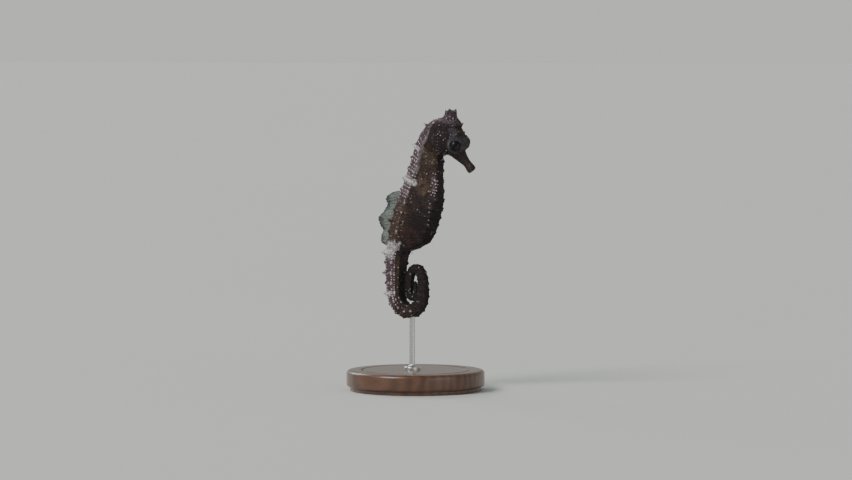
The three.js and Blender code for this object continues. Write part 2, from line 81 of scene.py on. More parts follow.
# Stations of snout, head, neck and trunk: ring number, dorsal (x, z), ventral (x, z), half width.
STATIONS = (
    (-8.0, (27.2, 59.1), (24.5, 56.8), 1.7),  # lips
    (-7.4, (26.6, 60.0), (23.8, 57.6), 1.85),  # muzzle
    (-6.3, (25.1, 61.7), (22.6, 59.6), 1.6),  # snout
    (-5.3, (23.8, 64.0), (20.3, 61.3), 1.95),  # snout root
    (-4.6, (23.1, 66.3), (19.0, 62.3), 2.5),  # lower orbit
    (-3.7, (22.9, 70.2), (17.7, 63.2), 3.0),  # brow
    (-2.9, (22.9, 74.3), (16.7, 63.8), 3.4),  # forehead
    (-2.2, (20.6, 77.2), (15.7, 64.1), 3.8),  # crown
    (-1.5, (16.4, 78.7), (14.8, 64.2), 4.0),  # gill cover
    (-0.9, (11.4, 78.3), (13.7, 64.1), 3.8),  # nape
    (-0.4, (6.8, 76.0), (12.9, 63.6), 3.5),
    (0, (3.7, 72.4), (12.6, 62.6), 3.3),  # shoulder girdle
    (1, (1.1, 67.6), (13.1, 60.8), 3.5),
    (2, (-0.4, 63.0), (13.3, 57.5), 3.7),
    (4, (-3.4, 54.8), (13.6, 49.7), 4.5),
    (5.5, (-5.9, 48.6), (13.3, 44.4), 5.1),
    (7, (-8.3, 42.5), (11.8, 39.4), 5.5),  # deepest ring
    (9, (-11.2, 34.1), (9.6, 33.7), 5.2),
    (10, (-11.9, 30.0), (6.8, 30.0), 4.6),
    (10.5, (-12.6, 27.9), (1.2, 27.3), 4.0),
    (11, (-13.1, 25.7), (-5.1, 25.9), 3.5),  # last trunk ring
)
TAIL_START = (-9.1, 25.8)
# The tail's half turns: centre, radii and sweep in degrees, each inside the last.
HALF_TURNS = (
    ((-3.0, 10.9), (6.7, 8.2), 180),
    ((0.4, 13.6), (3.3, 6.1), 180),
    ((-1.43, 9.8), (1.47, 1.85), 180),
    ((-0.46, 9.8), (0.5, 5.7), 55),
)
TAIL_DEPTH, TAIL_WIDTH, RING_TAPER = 3.5, 3.25, 0.946
# Half depth and half width at the tail's root, which narrow to the tail's own over ring 12.
TAIL_ROOT = (4.0, 3.5)
# The coil's inner turns are a little slimmer, so that the skin's mesh keeps them apart: how much, and the
# rings over which it sets in.
COIL_SLIMMER, COIL_SLIMS = 0.08, (20, 24)
# The share of its size that the tail keeps from ring to ring, from ring 12, each for so many rings.
TAIL_TAPERS = ((12, 0.95), (18, 0.965), (6, 0.92))

# Half a cross section from the dorsal to the ventral midline: shares of half depth and half width.
ROUND = ((1, 0), (0.707, 0.707), (0, 1), (-0.707, 0.707), (-1, 0))
OVAL = ((1, 0), (0.82, 0.6), (0.12, 1), (-0.66, 0.86), (-1, 0))
TRUNK = ((0.95, 0), (1, 0.5), (0.38, 1), (-0.76, 0.62), (-1, 0))
TAIL = ((0.93, 0), (1, 0.84), (0.06, 0.9), (-1, 0.8), (-0.93, 0))
# Where each section holds, and how flat its faces are between the ridges.
SECTION_AT = (
    (-8, ROUND, 0), (-5, ROUND, 0), (-3.8, OVAL, 0.05), (-1, OVAL, 0.1),
    (0.6, TRUNK, 0.8), (10, TRUNK, 0.8), (11.4, TAIL, 0.85), (LAST_RING, TAIL, 0.85),
)

LONG_RINGS = (1, 4, 8, 11, 13, 15)
LAST_SPINE = 42
# How far a ring's crest, a ridge and the knob where they cross stand out, in mm.
RING_CREST, RIDGE_CREST, KNOB = 0.66, 0.34, 0.24
COLUMNS = 128  # points round a section of the skin
# Spines of the head: foot, tip and foot radius, the paired ones given for the left side.
NOSE_SPINE = ((22.0, 0, 74.9), (25.0, 0, 77.1), 1.1)
PAIRED_SPINES = (
    ((21.8, 2.1, 70.4), (22.8, 2.7, 73.1), 0.8),  # brow
    ((17.2, 3.0, 66.0), (17.0, 4.9, 64.6), 0.8),  # cheek
    ((9.6, 2.0, 75.2), (7.6, 3.2, 77.6), 1.1),  # nape
)


# ---- Colours of the skin ----
# The ground's deep and light tone, then the zones over it from the lowest up: deep tone, light tone and how
# much the blotches break the zone's edge.
GROUND_TONES = ("#1c1212", "#3e2e2b")
SKIN_ZONES = {
    "olive": ("#1e150f", "#4b3a2c", 1.2),
    "moss": ("#291e17", "#665241", 1.7),
    "brown": ("#22150f", "#50392b", 1.0),
    "mauve": ("#2d1f24", "#6d5560", 1.1),
    "dark": ("#100c0c", "#2b201f", 0.8),
    "russet": ("#1e1211", "#442b28", 1.7),
    "crown": ("#21181d", "#5c4a54", 0.4),
    "grey": ("#242125", "#534950", 0.4),
    "snout": ("#1e1816", "#403530", 0.2),
    "line": ("#51474a", "#7f7376", 0.35),
    "rim": ("#4a494c", "#706f72", 0.2),
    "pale": ("#655a5f", "#c9c3c3", 1.9),
    "white": ("#a69da0", "#e6e2e2", 1.2),
}
BEAD_WHITE, SPINE_PINK = "#d2cccd", "#a9847e"
# The patches of each zone, each as the ridge numbers between which it lies and how soft that edge is, the
# same in ring numbers, and its strength.
PATCHES = {
    "belly": (((2.35, 5, 0.5), (6.1, 11.0, 1.0), 1),),
    "brown": (((0.3, 2.15, 0.5), (6.0, 10.2, 0.8), 1), ((2.2, 3.0, 0.4), (2.0, 3.7, 0.6), 0.5)),
    "chest": (((2.85, 3.35, 0.3), (2.7, 4.4, 0.8), 0.85),),
    "flank": (((2.7, 3.2, 0.4), (4.4, 8.0, 1.5), 0.2),),
    # The keel patch darkens the ventral face down the whole body: partly its own dark colour, partly painted
    # shade where that face turns away from the light.
    "keel_and_shade": (((3.2, 5, 0.35), (-0.5, LAST_RING + 1, 1), 1),),
    "mauve": (((-1, 2.45, 0.3), (10.6, 16.8, 1.2), 0.8), ((2.4, 4.2, 0.5), (15.6, 19.5, 1.0), 0.35)),
    "moss": (((2.2, 2.8, 0.6), (3.2, 4.7, 1.1), 1),),
    "olive": (((2.2, 3.1, 0.4), (-0.3, 1.9, 0.7), 1), ((2.55, 3.0, 0.3), (11.2, 15.0, 1.2), 1)),
    "russet": (((2.1, 2.7, 0.4), (8.4, 9.9, 0.5), 1), ((3.4, 4.2, 0.4), (11.2, 12.6, 0.5), 0.8)),
    "temple": (((0.7, 1.6, 0.4), (-3.2, -2.2, 0.5), 1),),
    "throat": (((1.1, 5, 0.5), (-2.9, -0.6, 0.6), 1),),
}
# Pale saddles across the back and sides: ring number, half width in rings, ridge that they reach, strength.
SADDLES = (
    (1.0, 0.3, 1.9, 0.95), (3.95, 0.42, 2.25, 0.85), (10.8, 0.75, 2.25, 2.2), (13.1, 0.22, 2.2, 0.4),
    (15.1, 0.38, 2.45, 0.85), (17.6, 0.3, 2.3, 0.25),
)
# The spines down to this ring have pale tips.
LAST_PALE_TIP = 19
# The radii of the beads in rows and of the scattered ones, in mm.
ROW_BEADS, SCATTERED_BEADS = (0.25, 0.36), (0.21, 0.33)
# Larger white knobs: ring number, ridge number, radius in mm.
WHITE_KNOBS = ((-1.05, 0.35, 0.5), (-0.9, 1.0, 0.42), (0.0, 1.0, 0.4), (4.1, 2.1, 0.5))


def ease(t):
    """A smooth step over 0 to 1."""
    t = np.clip(t, 0, 1)
    return t * t * (3 - 2 * t)


def band(x, low, high, soft):
    """1 between low and high, 0 outside them, with soft edges."""
    return ease((x - low) / soft + 0.5) * (1 - ease((x - high) / soft + 0.5))


def mix(a, b, t):
    """The value a share t of the way from a to b."""
    return a + (b - a) * t


def curve(a, slope_a, b, slope_b, t, span=1):
    """A smooth curve from a to b at the share t of the span, with these slopes at its ends."""
    return (
        (2 * t**3 - 3 * t**2 + 1) * a
        + (t**3 - 2 * t**2 + t) * span * slope_a
        + (3 * t**2 - 2 * t**3) * b
        + (t**3 - t**2) * span * slope_b
    )


def through(keys, values, x):
    """A smooth curve through (keys, values) at x."""
    keys, values = np.asarray(keys, float), np.asarray(values, float)
    count = len(keys)
    before = np.maximum(np.arange(count) - 1, 0)
    after = np.minimum(np.arange(count) + 1, count - 1)
    slope = (values[after] - values[before]) / (keys[after] - keys[before])
    i = np.clip(np.searchsorted(keys, x, side="left") - 1, 0, count - 2)
    span = keys[i + 1] - keys[i]
    t = np.clip((x - keys[i]) / span, 0, 1)
    return curve(values[i], slope[i], values[i + 1], slope[i + 1], t, span)


def tail_polyline():
    """Closely spaced points of the tail's centreline, and the length up to each."""
    (cx, cz), (rx, _), _ = HALF_TURNS[0]
    start, end = np.array(TAIL_START), np.array((cx - rx, cz))
    handles = start, start + (-0.5, -5), end + (0, 5), end
    t = np.linspace(0, 1, 200)[:, None]
    weights = (1 - t) ** 3, 3 * t * (1 - t) ** 2, 3 * t**2 * (1 - t), t**3
    runs = [sum(w * h for w, h in zip(weights, handles))]
    for i, (centre, radii, sweep) in enumerate(HALF_TURNS):
        first = math.pi if i % 2 == 0 else 0
        angle = first + np.linspace(0, math.radians(sweep), 400)
        runs.append(np.array(centre) + np.stack((np.cos(angle), np.sin(angle)), 1) * radii)
    points = np.concatenate(runs)
    steps = np.linalg.norm(np.diff(points, axis=0), axis=1)
    return points, np.concatenate(([0], np.cumsum(steps)))


TAIL_POINTS, TAIL_RUN = tail_polyline()


def tail_at(run):
    """Points of the tail's centreline at these lengths along it."""
    return np.stack([np.interp(run, TAIL_RUN, TAIL_POINTS[:, k]) for k in (0, 1)], 1)


def tail_size(rings):
    """The tail's size so many rings after ring 12, as a share of its size there."""
    left, size = rings, 1.0
    for count, keep in TAIL_TAPERS:
        size = size * keep ** np.minimum(left, count)
        left = left - np.minimum(left, count)
    return size


def stations_at(g):
    """Middle, unit vector to the dorsal side, half depth and half width of the sections at g."""
    g = np.asarray(g, float)
    keys = [s[0] for s in STATIONS]
    dorsal, ventral = (
        np.stack([through(keys, [s[side][k] for s in STATIONS], g) for k in (0, 1)], 1)
        for side in (1, 2)
    )
    middle = (dorsal + ventral) / 2
    depth = np.linalg.norm(dorsal - ventral, axis=1) / 2
    up = (dorsal - middle) / depth[:, None]
    width = through(keys, [s[3] for s in STATIONS], g)

    rings = np.maximum(g - TRUNK_RINGS, 0)
    share = (1 - RING_TAPER**rings) / (1 - RING_TAPER ** (LAST_RING - TRUNK_RINGS))
    run = share * TAIL_RUN[-1]
    around = 2.2  # mm each way that the tail's direction is taken over
    along = tail_at(run + around) - tail_at(run - around)
    along /= np.linalg.norm(along, axis=1)[:, None]
    taper = tail_size(rings - 1)
    settle = ease(rings)
    tail = (g > TRUNK_RINGS)[:, None]
    middle = np.where(tail, tail_at(run), middle)
    up = np.where(tail, np.stack((along[:, 1], -along[:, 0]), 1), up)
    slims_from, slims_to = COIL_SLIMS
    slim = 1 - COIL_SLIMMER * ease((g - slims_from) / (slims_to - slims_from))
    root_depth, root_width = TAIL_ROOT
    depth = np.where(tail[:, 0], mix(root_depth, TAIL_DEPTH * taper * slim, settle), depth)
    width = np.where(tail[:, 0], mix(root_width, TAIL_WIDTH * taper, settle), width)
    return middle, up, depth, width


def sections_at(g, v):
    """Shares of half depth and half width, for every g by every v."""
    keys = np.array([s[0] for s in SECTION_AT], float)
    shapes = np.array([s[1] for s in SECTION_AT], float)
    flat = np.array([s[2] for s in SECTION_AT], float)
    i = np.clip(np.searchsorted(keys, g, side="left") - 1, 0, len(keys) - 2)
    t = ease((g - keys[i]) / (keys[i + 1] - keys[i]))
    corners = mix(shapes[i], shapes[i + 1], t[:, None, None])
    flat = mix(flat[i], flat[i + 1], t)[:, None, None]
    mirrored = corners * (1, -1)
    corners = np.concatenate((mirrored[:, 1:2], corners, mirrored[:, 3:4]), 1)
    v = np.abs(v)
    k = np.clip(np.floor(v).astype(int), 0, 3)
    t = (v - k)[None, :, None]
    before, a, b, after = (corners[:, k + j] for j in range(4))
    rounded = curve(a, (b - before) / 2, b, (after - a) / 2, t)
    return mix(rounded, mix(a, b, t), flat)


def lean_head(points, g):
    """Turns points about the head's own axis, less and less down the neck."""
    angle = HEAD_ROLL * ease((LEAN_ENDS - np.asarray(g, float)) / (LEAN_ENDS - FULL_LEAN))
    y, height = points[..., 1], points[..., 2] - HEAD_CENTRE
    leant = points.copy()
    leant[..., 1] = y * np.cos(angle) - height * np.sin(angle)
    leant[..., 2] = HEAD_CENTRE + y * np.sin(angle) + height * np.cos(angle)
    return leant + (0, 0, LIFT)


def on_head(x, y, z):
    """A point given on the head before it leans."""
    return lean_head(np.array((x, y, z), float), FULL_LEAN)


def body_grid(g, v, share=1.0):
    """Points of the body for every g by every v, at a share of the way from the middle to the skin."""
    g, v = np.atleast_1d(np.asarray(g, float)), np.atleast_1d(np.asarray(v, float))
    middle, up, depth, width = stations_at(g)
    section = sections_at(g, v)
    dorsal = section[..., 0] * depth[:, None] * share
    left = section[..., 1] * width[:, None] * np.where(v < 0, -1, 1) * share
    flat = np.stack((
        middle[:, None, 0] + up[:, None, 0] * dorsal,
        left,
        middle[:, None, 1] + up[:, None, 1] * dorsal,
    ), 2)
    return lean_head(flat, g[:, None])


# ---- Relief of the skin, in mm ----
def spine_length(ring, ridge):
    """The spine's length at a ring and ridge: long ones on some rings, all shrinking down the tail."""
    if ring < 1 or ring > LAST_SPINE:
        return 0
    on_trunk = ring <= TRUNK_RINGS
    fade = 1 if on_trunk else 0.945 ** (ring - TRUNK_RINGS)
    long = ring in LONG_RINGS
    if ridge == 1:
        return (2.0 if long else 1.0) * fade
    if ridge == 2:
        return (1.1 if long else 0.65) if on_trunk else 0.3 * fade
    if ridge == 3:
        return (1.0 if on_trunk else 0.5) * fade
    return 0.35 if on_trunk and ridge == 4 else 0


def skin_relief(g, v, points):
    """How far the skin stands out from the plain section at each point: ring crests, ridges and spines."""
    size = through((-8, 0, 6, 11, 20, 30, 48), (0.3, 0.75, 1.15, 1, 0.75, 0.5, 0.25), g)
    size = np.clip(size, 0, 2)[:, None]
    ringed = ease((g + 0.8) / 1.4)[:, None]
    crest = (0.5 + 0.5 * np.cos(2 * np.pi * g))[:, None] ** 2.4
    ridge = np.exp(-(((np.abs(v) - np.round(np.abs(v))) / 0.15) ** 2))[None, :]
    ridge = ridge * (np.abs(v) > 0.5)[None, :]
    # Crests stand out from the plain section, and the furrows between them sink in.
    relief = RING_CREST * (crest - 0.72) + RIDGE_CREST * (ridge - 0.3) + KNOB * crest * ridge
    relief = ringed * size * relief
    for ring in range(1, LAST_SPINE + 1):
        rows = np.abs(g - ring) < 0.62
        for side in (-1, 1):
            for number in (1, 2, 3, 4):
                length = spine_length(ring, number)
                if not length or (number == 4 and side < 0):
                    continue
                foot = body_grid(ring, side * number)[0, 0]
                radius = 0.5 + 0.42 * length
                away = np.linalg.norm(points[rows] - foot, axis=2) / radius
                spine = length * np.clip(1 - away, 0, 1) ** 1.35
                relief[rows] = np.maximum(relief[rows], spine)
    return relief


# ---- Mesh helpers ----
def select_none():
    """Leaves edit mode and deselects everything."""
    if bpy.context.object and bpy.context.object.mode != "OBJECT":
        bpy.ops.object.mode_set(mode="OBJECT")
    bpy.ops.object.select_all(action="DESELECT")


def select_only(*pieces):
    """Selects these pieces alone and makes the first one active."""
    select_none()
    for piece in pieces:
        piece.select_set(True)
    bpy.context.view_layer.objects.active = pieces[0]


def mesh_piece(name, points, faces):
    """A new object from points in mm and a list or array of faces."""
    mesh = bpy.data.meshes.new(name)
    mesh.from_pydata((np.asarray(points) * MM).tolist(), [], [list(f) for f in faces])
    mesh.update()
    piece = bpy.data.objects.new(name, mesh)
    bpy.context.scene.collection.objects.link(piece)
    return piece


def apply_modifier(piece, kind, **settings):
    """Adds a modifier with these settings and applies it."""
    select_only(piece)
    modifier = piece.modifiers.new(kind.title(), kind)
    for name, value in settings.items():
        setattr(modifier, name, value)
    bpy.ops.object.modifier_apply(modifier=modifier.name)


def settle(piece):
    """Puts the piece's place, turn and size into its mesh."""
    select_only(piece)
    bpy.ops.object.transform_apply(location=True, rotation=True, scale=True)


def join(name, pieces):
    """Joins the pieces into one object."""
    select_only(*pieces)
    bpy.ops.object.join()
    whole = bpy.context.object
    whole.name = whole.data.name = name
    return whole


def points_of(piece):
    """The mesh's points, in mm."""
    points = np.empty(len(piece.data.vertices) * 3)
    piece.data.vertices.foreach_get("co", points)
    return points.reshape(-1, 3) / MM


def set_points(piece, points):
    """Moves the mesh's points, given in mm."""
    piece.data.vertices.foreach_set("co", (points * MM).ravel())
    piece.data.update()


def normals_of(piece):
    """The unit normals at the mesh's points."""
    normals = np.empty(len(piece.data.vertices) * 3)
    piece.data.vertex_normals.foreach_get("vector", normals)
    return normals.reshape(-1, 3)


def set_attribute(piece, name, values):
    """Stores one value at each point of the mesh."""
    attribute = piece.data.attributes.new(name, "FLOAT", "POINT")
    attribute.data.foreach_set("value", np.asarray(values, np.float32))


def relax(piece, points, weight, rounds):
    """Moves each point towards the middle of its neighbours by a weight from 0 to 1."""
    ends = np.empty(len(piece.data.edges) * 2, int)
    piece.data.edges.foreach_get("vertices", ends)
    a, b = ends.reshape(-1, 2).T
    count = np.bincount(np.concatenate((a, b)), minlength=len(points))[:, None]
    for _ in range(rounds):
        total = np.zeros_like(points)
        for k in range(3):
            total[:, k] = np.bincount(a, points[b, k], len(points))
            total[:, k] += np.bincount(b, points[a, k], len(points))
        points = points + weight[:, None] * (total / count - points)
    return points


def nearest_to(points, places):
    """For each point the number of the nearest place, and how far away it is."""
    tree = kdtree.KDTree(len(places))
    for i, place in enumerate(places):
        tree.insert(place, i)
    tree.balance()
    number, away = np.array([tree.find(point)[1:] for point in points]).T
    return number.astype(int), away


def finish_piece(piece, material, slot, *nodes):
    """Smooth shading, one material, the body it rides on and the nodes it stands for."""
    select_only(piece)
    bpy.ops.object.shade_smooth()
    piece.data.materials.clear()
    piece.data.materials.append(material)
    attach(piece, "root")
    if nodes:
        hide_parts(*nodes)


# ---- Materials ----
def linear(code):
    """An sRGB hex colour as linear RGBA."""
    parts = [int(code[i:i + 2], 16) / 255 for i in (1, 3, 5)]
    return (*(c / 12.92 if c <= 0.04045 else ((c + 0.055) / 1.055) ** 2.4 for c in parts), 1)


def new_material(name):
    """An empty node material."""
    material = bpy.data.materials.new(name)
    material.use_nodes = True
    material.node_tree.nodes.clear()
    return material


def add_node(tree, kind, inputs=None, **settings):
    """Adds a node. Each input is a value, or the output that it is linked to."""
    node = tree.nodes.new(kind)
    for name, value in settings.items():
        setattr(node, name, value)
    for key, value in (inputs or {}).items():
        if isinstance(value, bpy.types.NodeSocket):
            tree.links.new(value, node.inputs[key])
        else:
            node.inputs[key].default_value = value
    return node


def per_mm(size):
    """The scale of a pattern whose cells are this many mm wide."""
    return 1 / (size * MM)


def skin_material():
    """Bony seahorse skin: dull, finely grained, brown to mauve, with rows of small white beads."""
    material = new_material("granular_bony_skin")
    tree = material.node_tree
    place = add_node(tree, "ShaderNodeTexCoord").outputs["Object"]
    zone = {
        name: add_node(tree, "ShaderNodeAttribute", attribute_name=name).outputs["Fac"]
        for name in (*SKIN_ZONES, "pink", "bead_apart", "bead_white")
    }
    # Blotches 1.6 mm wide break the edges of the patches, finer ones 0.6 mm wide mottle them.
    blotch = add_node(tree, "ShaderNodeTexNoise", {
        "Vector": place, "Scale": per_mm(1.6), "Detail": 4.0, "Roughness": 0.6}).outputs["Fac"]
    mottle = add_node(tree, "ShaderNodeTexNoise", {
        "Vector": place, "Scale": per_mm(0.6), "Detail": 3.0, "Roughness": 0.65}).outputs["Fac"]
    fleck = add_node(tree, "ShaderNodeMapRange", {
        0: mottle, 1: 0.33, 2: 0.67, 3: 0.0, 4: 1.0}, interpolation_type="SMOOTHSTEP").outputs[0]
    # Granules 0.4 mm across cover the skin: painted light on their tops and painted shade in the furrows
    # between them.
    granule = add_node(tree, "ShaderNodeTexVoronoi", {
        "Vector": place, "Scale": per_mm(0.4), "Randomness": 0.9}).outputs["Distance"]
    top = add_node(tree, "ShaderNodeMapRange", {
        0: granule, 1: 0.12, 2: 0.62, 3: 1.0, 4: 0.0}, interpolation_type="SMOOTHSTEP").outputs[0]

    def broken(name, amount):
        """A zone with its edge broken up by the blotches."""
        offset = add_node(tree, "ShaderNodeMath", {0: blotch, 1: -0.5}, operation="ADD").outputs[0]
        moved = add_node(tree, "ShaderNodeMath", {
            0: offset, 1: amount, 2: zone[name]}, operation="MULTIPLY_ADD").outputs[0]
        return add_node(tree, "ShaderNodeMapRange", {
            0: moved, 1: 0.18, 2: 0.78, 3: 0.0, 4: 1.0}, interpolation_type="SMOOTHSTEP").outputs[0]

    def flecked(deep, light):
        """A colour flecked between two tones."""
        return add_node(tree, "ShaderNodeMix", {
            0: fleck, 6: linear(deep), 7: linear(light)}, data_type="RGBA").outputs[2]

    colour = flecked(*GROUND_TONES)
    for name, (deep, light, amount) in SKIN_ZONES.items():
        colour = add_node(tree, "ShaderNodeMix", {
            0: broken(name, amount), 6: colour, 7: flecked(deep, light)}, data_type="RGBA").outputs[2]
    # Painted light and shade: the colour is multiplied from 0.66 in the granules' furrows up to 1.12 on their
    # tops.
    shade = add_node(tree, "ShaderNodeMapRange", {0: top, 1: 0.0, 2: 1.0, 3: 0.66, 4: 1.12}).outputs[0]
    colour = add_node(tree, "ShaderNodeMix", {
        0: 1.0, 6: colour, 7: shade}, data_type="RGBA", blend_type="MULTIPLY").outputs[2]

    # Each bead is a pale dot as wide as the bead, whose own whiteness says how strongly it shows.
    dot = add_node(tree, "ShaderNodeMapRange", {
        0: zone["bead_apart"], 1: 0.55, 2: 1.15, 3: 1.0, 4: 0.0}, interpolation_type="SMOOTHSTEP").outputs[0]
    dot = add_node(tree, "ShaderNodeMath", {0: dot, 1: zone["bead_white"]}, operation="MULTIPLY").outputs[0]
    colour = add_node(tree, "ShaderNodeMix", {
        0: dot, 6: colour, 7: linear(BEAD_WHITE)}, data_type="RGBA").outputs[2]
    colour = add_node(tree, "ShaderNodeMix", {
        0: zone["pink"], 6: colour, 7: linear(SPINE_PINK)}, data_type="RGBA").outputs[2]

    height = add_node(tree, "ShaderNodeMath", {0: dot, 1: 0.7, 2: top}, operation="MULTIPLY_ADD").outputs[0]
    height = add_node(tree, "ShaderNodeMath", {
        0: mottle, 1: 0.6, 2: height}, operation="MULTIPLY_ADD").outputs[0]
    bump = add_node(tree, "ShaderNodeBump", {
        "Height": height, "Strength": 0.75, "Distance": 0.1 * MM}).outputs[0]
    rough = add_node(tree, "ShaderNodeMapRange", {0: mottle, 1: 0.3, 2: 0.7, 3: 0.5, 4: 0.7}).outputs[0]
    shader = add_node(tree, "ShaderNodeBsdfPrincipled", {
        "Base Color": colour, "Roughness": rough, "Normal": bump, "IOR": 1.4, "Specular IOR Level": 0.3,
        "Subsurface Weight": 0.05, "Subsurface Radius": (0.6 * MM, 0.35 * MM, 0.25 * MM),
        "Subsurface Scale": 1.0})
    add_node(tree, "ShaderNodeOutputMaterial", {"Surface": shader.outputs[0]})
    return material


def eye_material():
    """A fish's eye: black pupil, near-black iris with faint pale rings round the pupil, a wet cornea."""
    material = new_material("wet_eye")
    tree = material.node_tree
    away = add_node(tree, "ShaderNodeAttribute", attribute_name="from_pupil").outputs["Fac"]
    turn = add_node(tree, "ShaderNodeAttribute", attribute_name="round_pupil").outputs["Vector"]
    rays = add_node(tree, "ShaderNodeTexNoise", {
        "Vector": turn, "Scale": 1.7, "Detail": 2.0, "Roughness": 0.5}).outputs["Fac"]
    share = add_node(tree, "ShaderNodeMapRange", {
        0: rays, 1: 0.42, 2: 0.6, 3: 0.0, 4: 1.0}, interpolation_type="SMOOTHSTEP").outputs[0]
    colour = add_node(tree, "ShaderNodeMix", {
        0: share, 6: linear("#0c0f0e"), 7: linear("#1c201e")}, data_type="RGBA").outputs[2]
    # Angles from the pupil's axis, in radians: pupil to 0.27, rings at 0.31, 0.5, 0.78 and 1.02.
    for at, width, tone, strength in (
        (0.31, 0.03, "#37372d", 0.8), (0.5, 0.07, "#30352f", 0.8), (0.78, 0.06, "#3a3f3a", 0.8),
        (1.02, 0.07, "#2f3331", 0.7),
    ):
        soft = add_node(tree, "ShaderNodeMath", {0: away, 1: -at}, operation="ADD").outputs[0]
        soft = add_node(tree, "ShaderNodeMath", {0: soft}, operation="ABSOLUTE").outputs[0]
        soft = add_node(tree, "ShaderNodeMapRange", {
            0: soft, 1: 0.0, 2: width, 3: strength, 4: 0.0}, interpolation_type="SMOOTHSTEP").outputs[0]
        soft = add_node(tree, "ShaderNodeMath", {0: soft, 1: share}, operation="MULTIPLY").outputs[0]
        colour = add_node(tree, "ShaderNodeMix", {
            0: soft, 6: colour, 7: linear(tone)}, data_type="RGBA").outputs[2]
    pupil = add_node(tree, "ShaderNodeMapRange", {
        0: away, 1: 0.29, 2: 0.25, 3: 0.0, 4: 1.0}, interpolation_type="SMOOTHSTEP").outputs[0]
    colour = add_node(tree, "ShaderNodeMix", {
        0: pupil, 6: colour, 7: linear("#030403")}, data_type="RGBA").outputs[2]
    shader = add_node(tree, "ShaderNodeBsdfPrincipled", {
        "Base Color": colour, "Roughness": 0.45, "IOR": 1.37, "Specular IOR Level": 0.15,
        "Coat Weight": 0.3, "Coat Roughness": 0.05, "Coat IOR": 1.34})
    add_node(tree, "ShaderNodeOutputMaterial", {"Surface": shader.outputs[0]})
    return material


def fin_material(name, membrane, ray_solid, tones):
    """Thin clear fin membrane stiffened by rays: mottled, darker along the free edge, with pale flecks."""
    material = new_material(name)
    tree = material.node_tree
    uv = add_node(tree, "ShaderNodeUVMap", uv_map="FinUV").outputs[0]
    ray = add_node(tree, "ShaderNodeAttribute", attribute_name="ray").outputs["Fac"]
    place = add_node(tree, "ShaderNodeTexCoord").outputs["Object"]
    reach = add_node(tree, "ShaderNodeSeparateXYZ", {0: uv}).outputs["Y"]
    # Mottling about 1.2 mm wide and flecks about 0.3 mm wide in cells of 1 mm.
    mottle = add_node(tree, "ShaderNodeTexNoise", {
        "Vector": place, "Scale": per_mm(1.2), "Detail": 3.0, "Roughness": 0.6}).outputs["Fac"]
    mottle = add_node(tree, "ShaderNodeMapRange", {
        0: mottle, 1: 0.35, 2: 0.65, 3: 0.0, 4: 1.0}, interpolation_type="SMOOTHSTEP").outputs[0]
    fleck = add_node(tree, "ShaderNodeTexVoronoi", {
        "Vector": place, "Scale": per_mm(1.0), "Randomness": 1.0}).outputs["Distance"]
    fleck = add_node(tree, "ShaderNodeMapRange", {
        0: fleck, 1: 0.1, 2: 0.22, 3: 0.5, 4: 0.0}, interpolation_type="SMOOTHSTEP").outputs[0]
    dark_tone, light_tone, edge_tone, ray_tone, fleck_tone = (linear(tone) for tone in tones)
    colour = add_node(tree, "ShaderNodeMix", {
        0: mottle, 6: dark_tone, 7: light_tone}, data_type="RGBA").outputs[2]
    ragged = add_node(tree, "ShaderNodeMath", {
        0: mottle, 1: -0.14, 2: reach}, operation="MULTIPLY_ADD").outputs[0]
    edge = add_node(tree, "ShaderNodeMapRange", {
        0: ragged, 1: 0.62, 2: 0.92, 3: 0.0, 4: 0.9}, interpolation_type="SMOOTHSTEP").outputs[0]
    for share, tone in ((edge, edge_tone), (ray, ray_tone), (fleck, fleck_tone)):
        colour = add_node(tree, "ShaderNodeMix", {0: share, 6: colour, 7: tone}, data_type="RGBA").outputs[2]
    solid = add_node(tree, "ShaderNodeMath", {
        0: ray, 1: ray_solid - membrane, 2: membrane}, operation="MULTIPLY_ADD").outputs[0]
    solid = add_node(tree, "ShaderNodeMath", {
        0: edge, 1: 0.22, 2: solid}, operation="MULTIPLY_ADD").outputs[0]
    solid = add_node(tree, "ShaderNodeMath", {
        0: fleck, 1: 0.25, 2: solid}, operation="MULTIPLY_ADD", use_clamp=True).outputs[0]
    shader = add_node(tree, "ShaderNodeBsdfPrincipled", {
        "Base Color": colour, "Roughness": 0.55, "IOR": 1.38, "Specular IOR Level": 0.2, "Alpha": solid})
    add_node(tree, "ShaderNodeOutputMaterial", {"Surface": shader.outputs[0]})
    return material


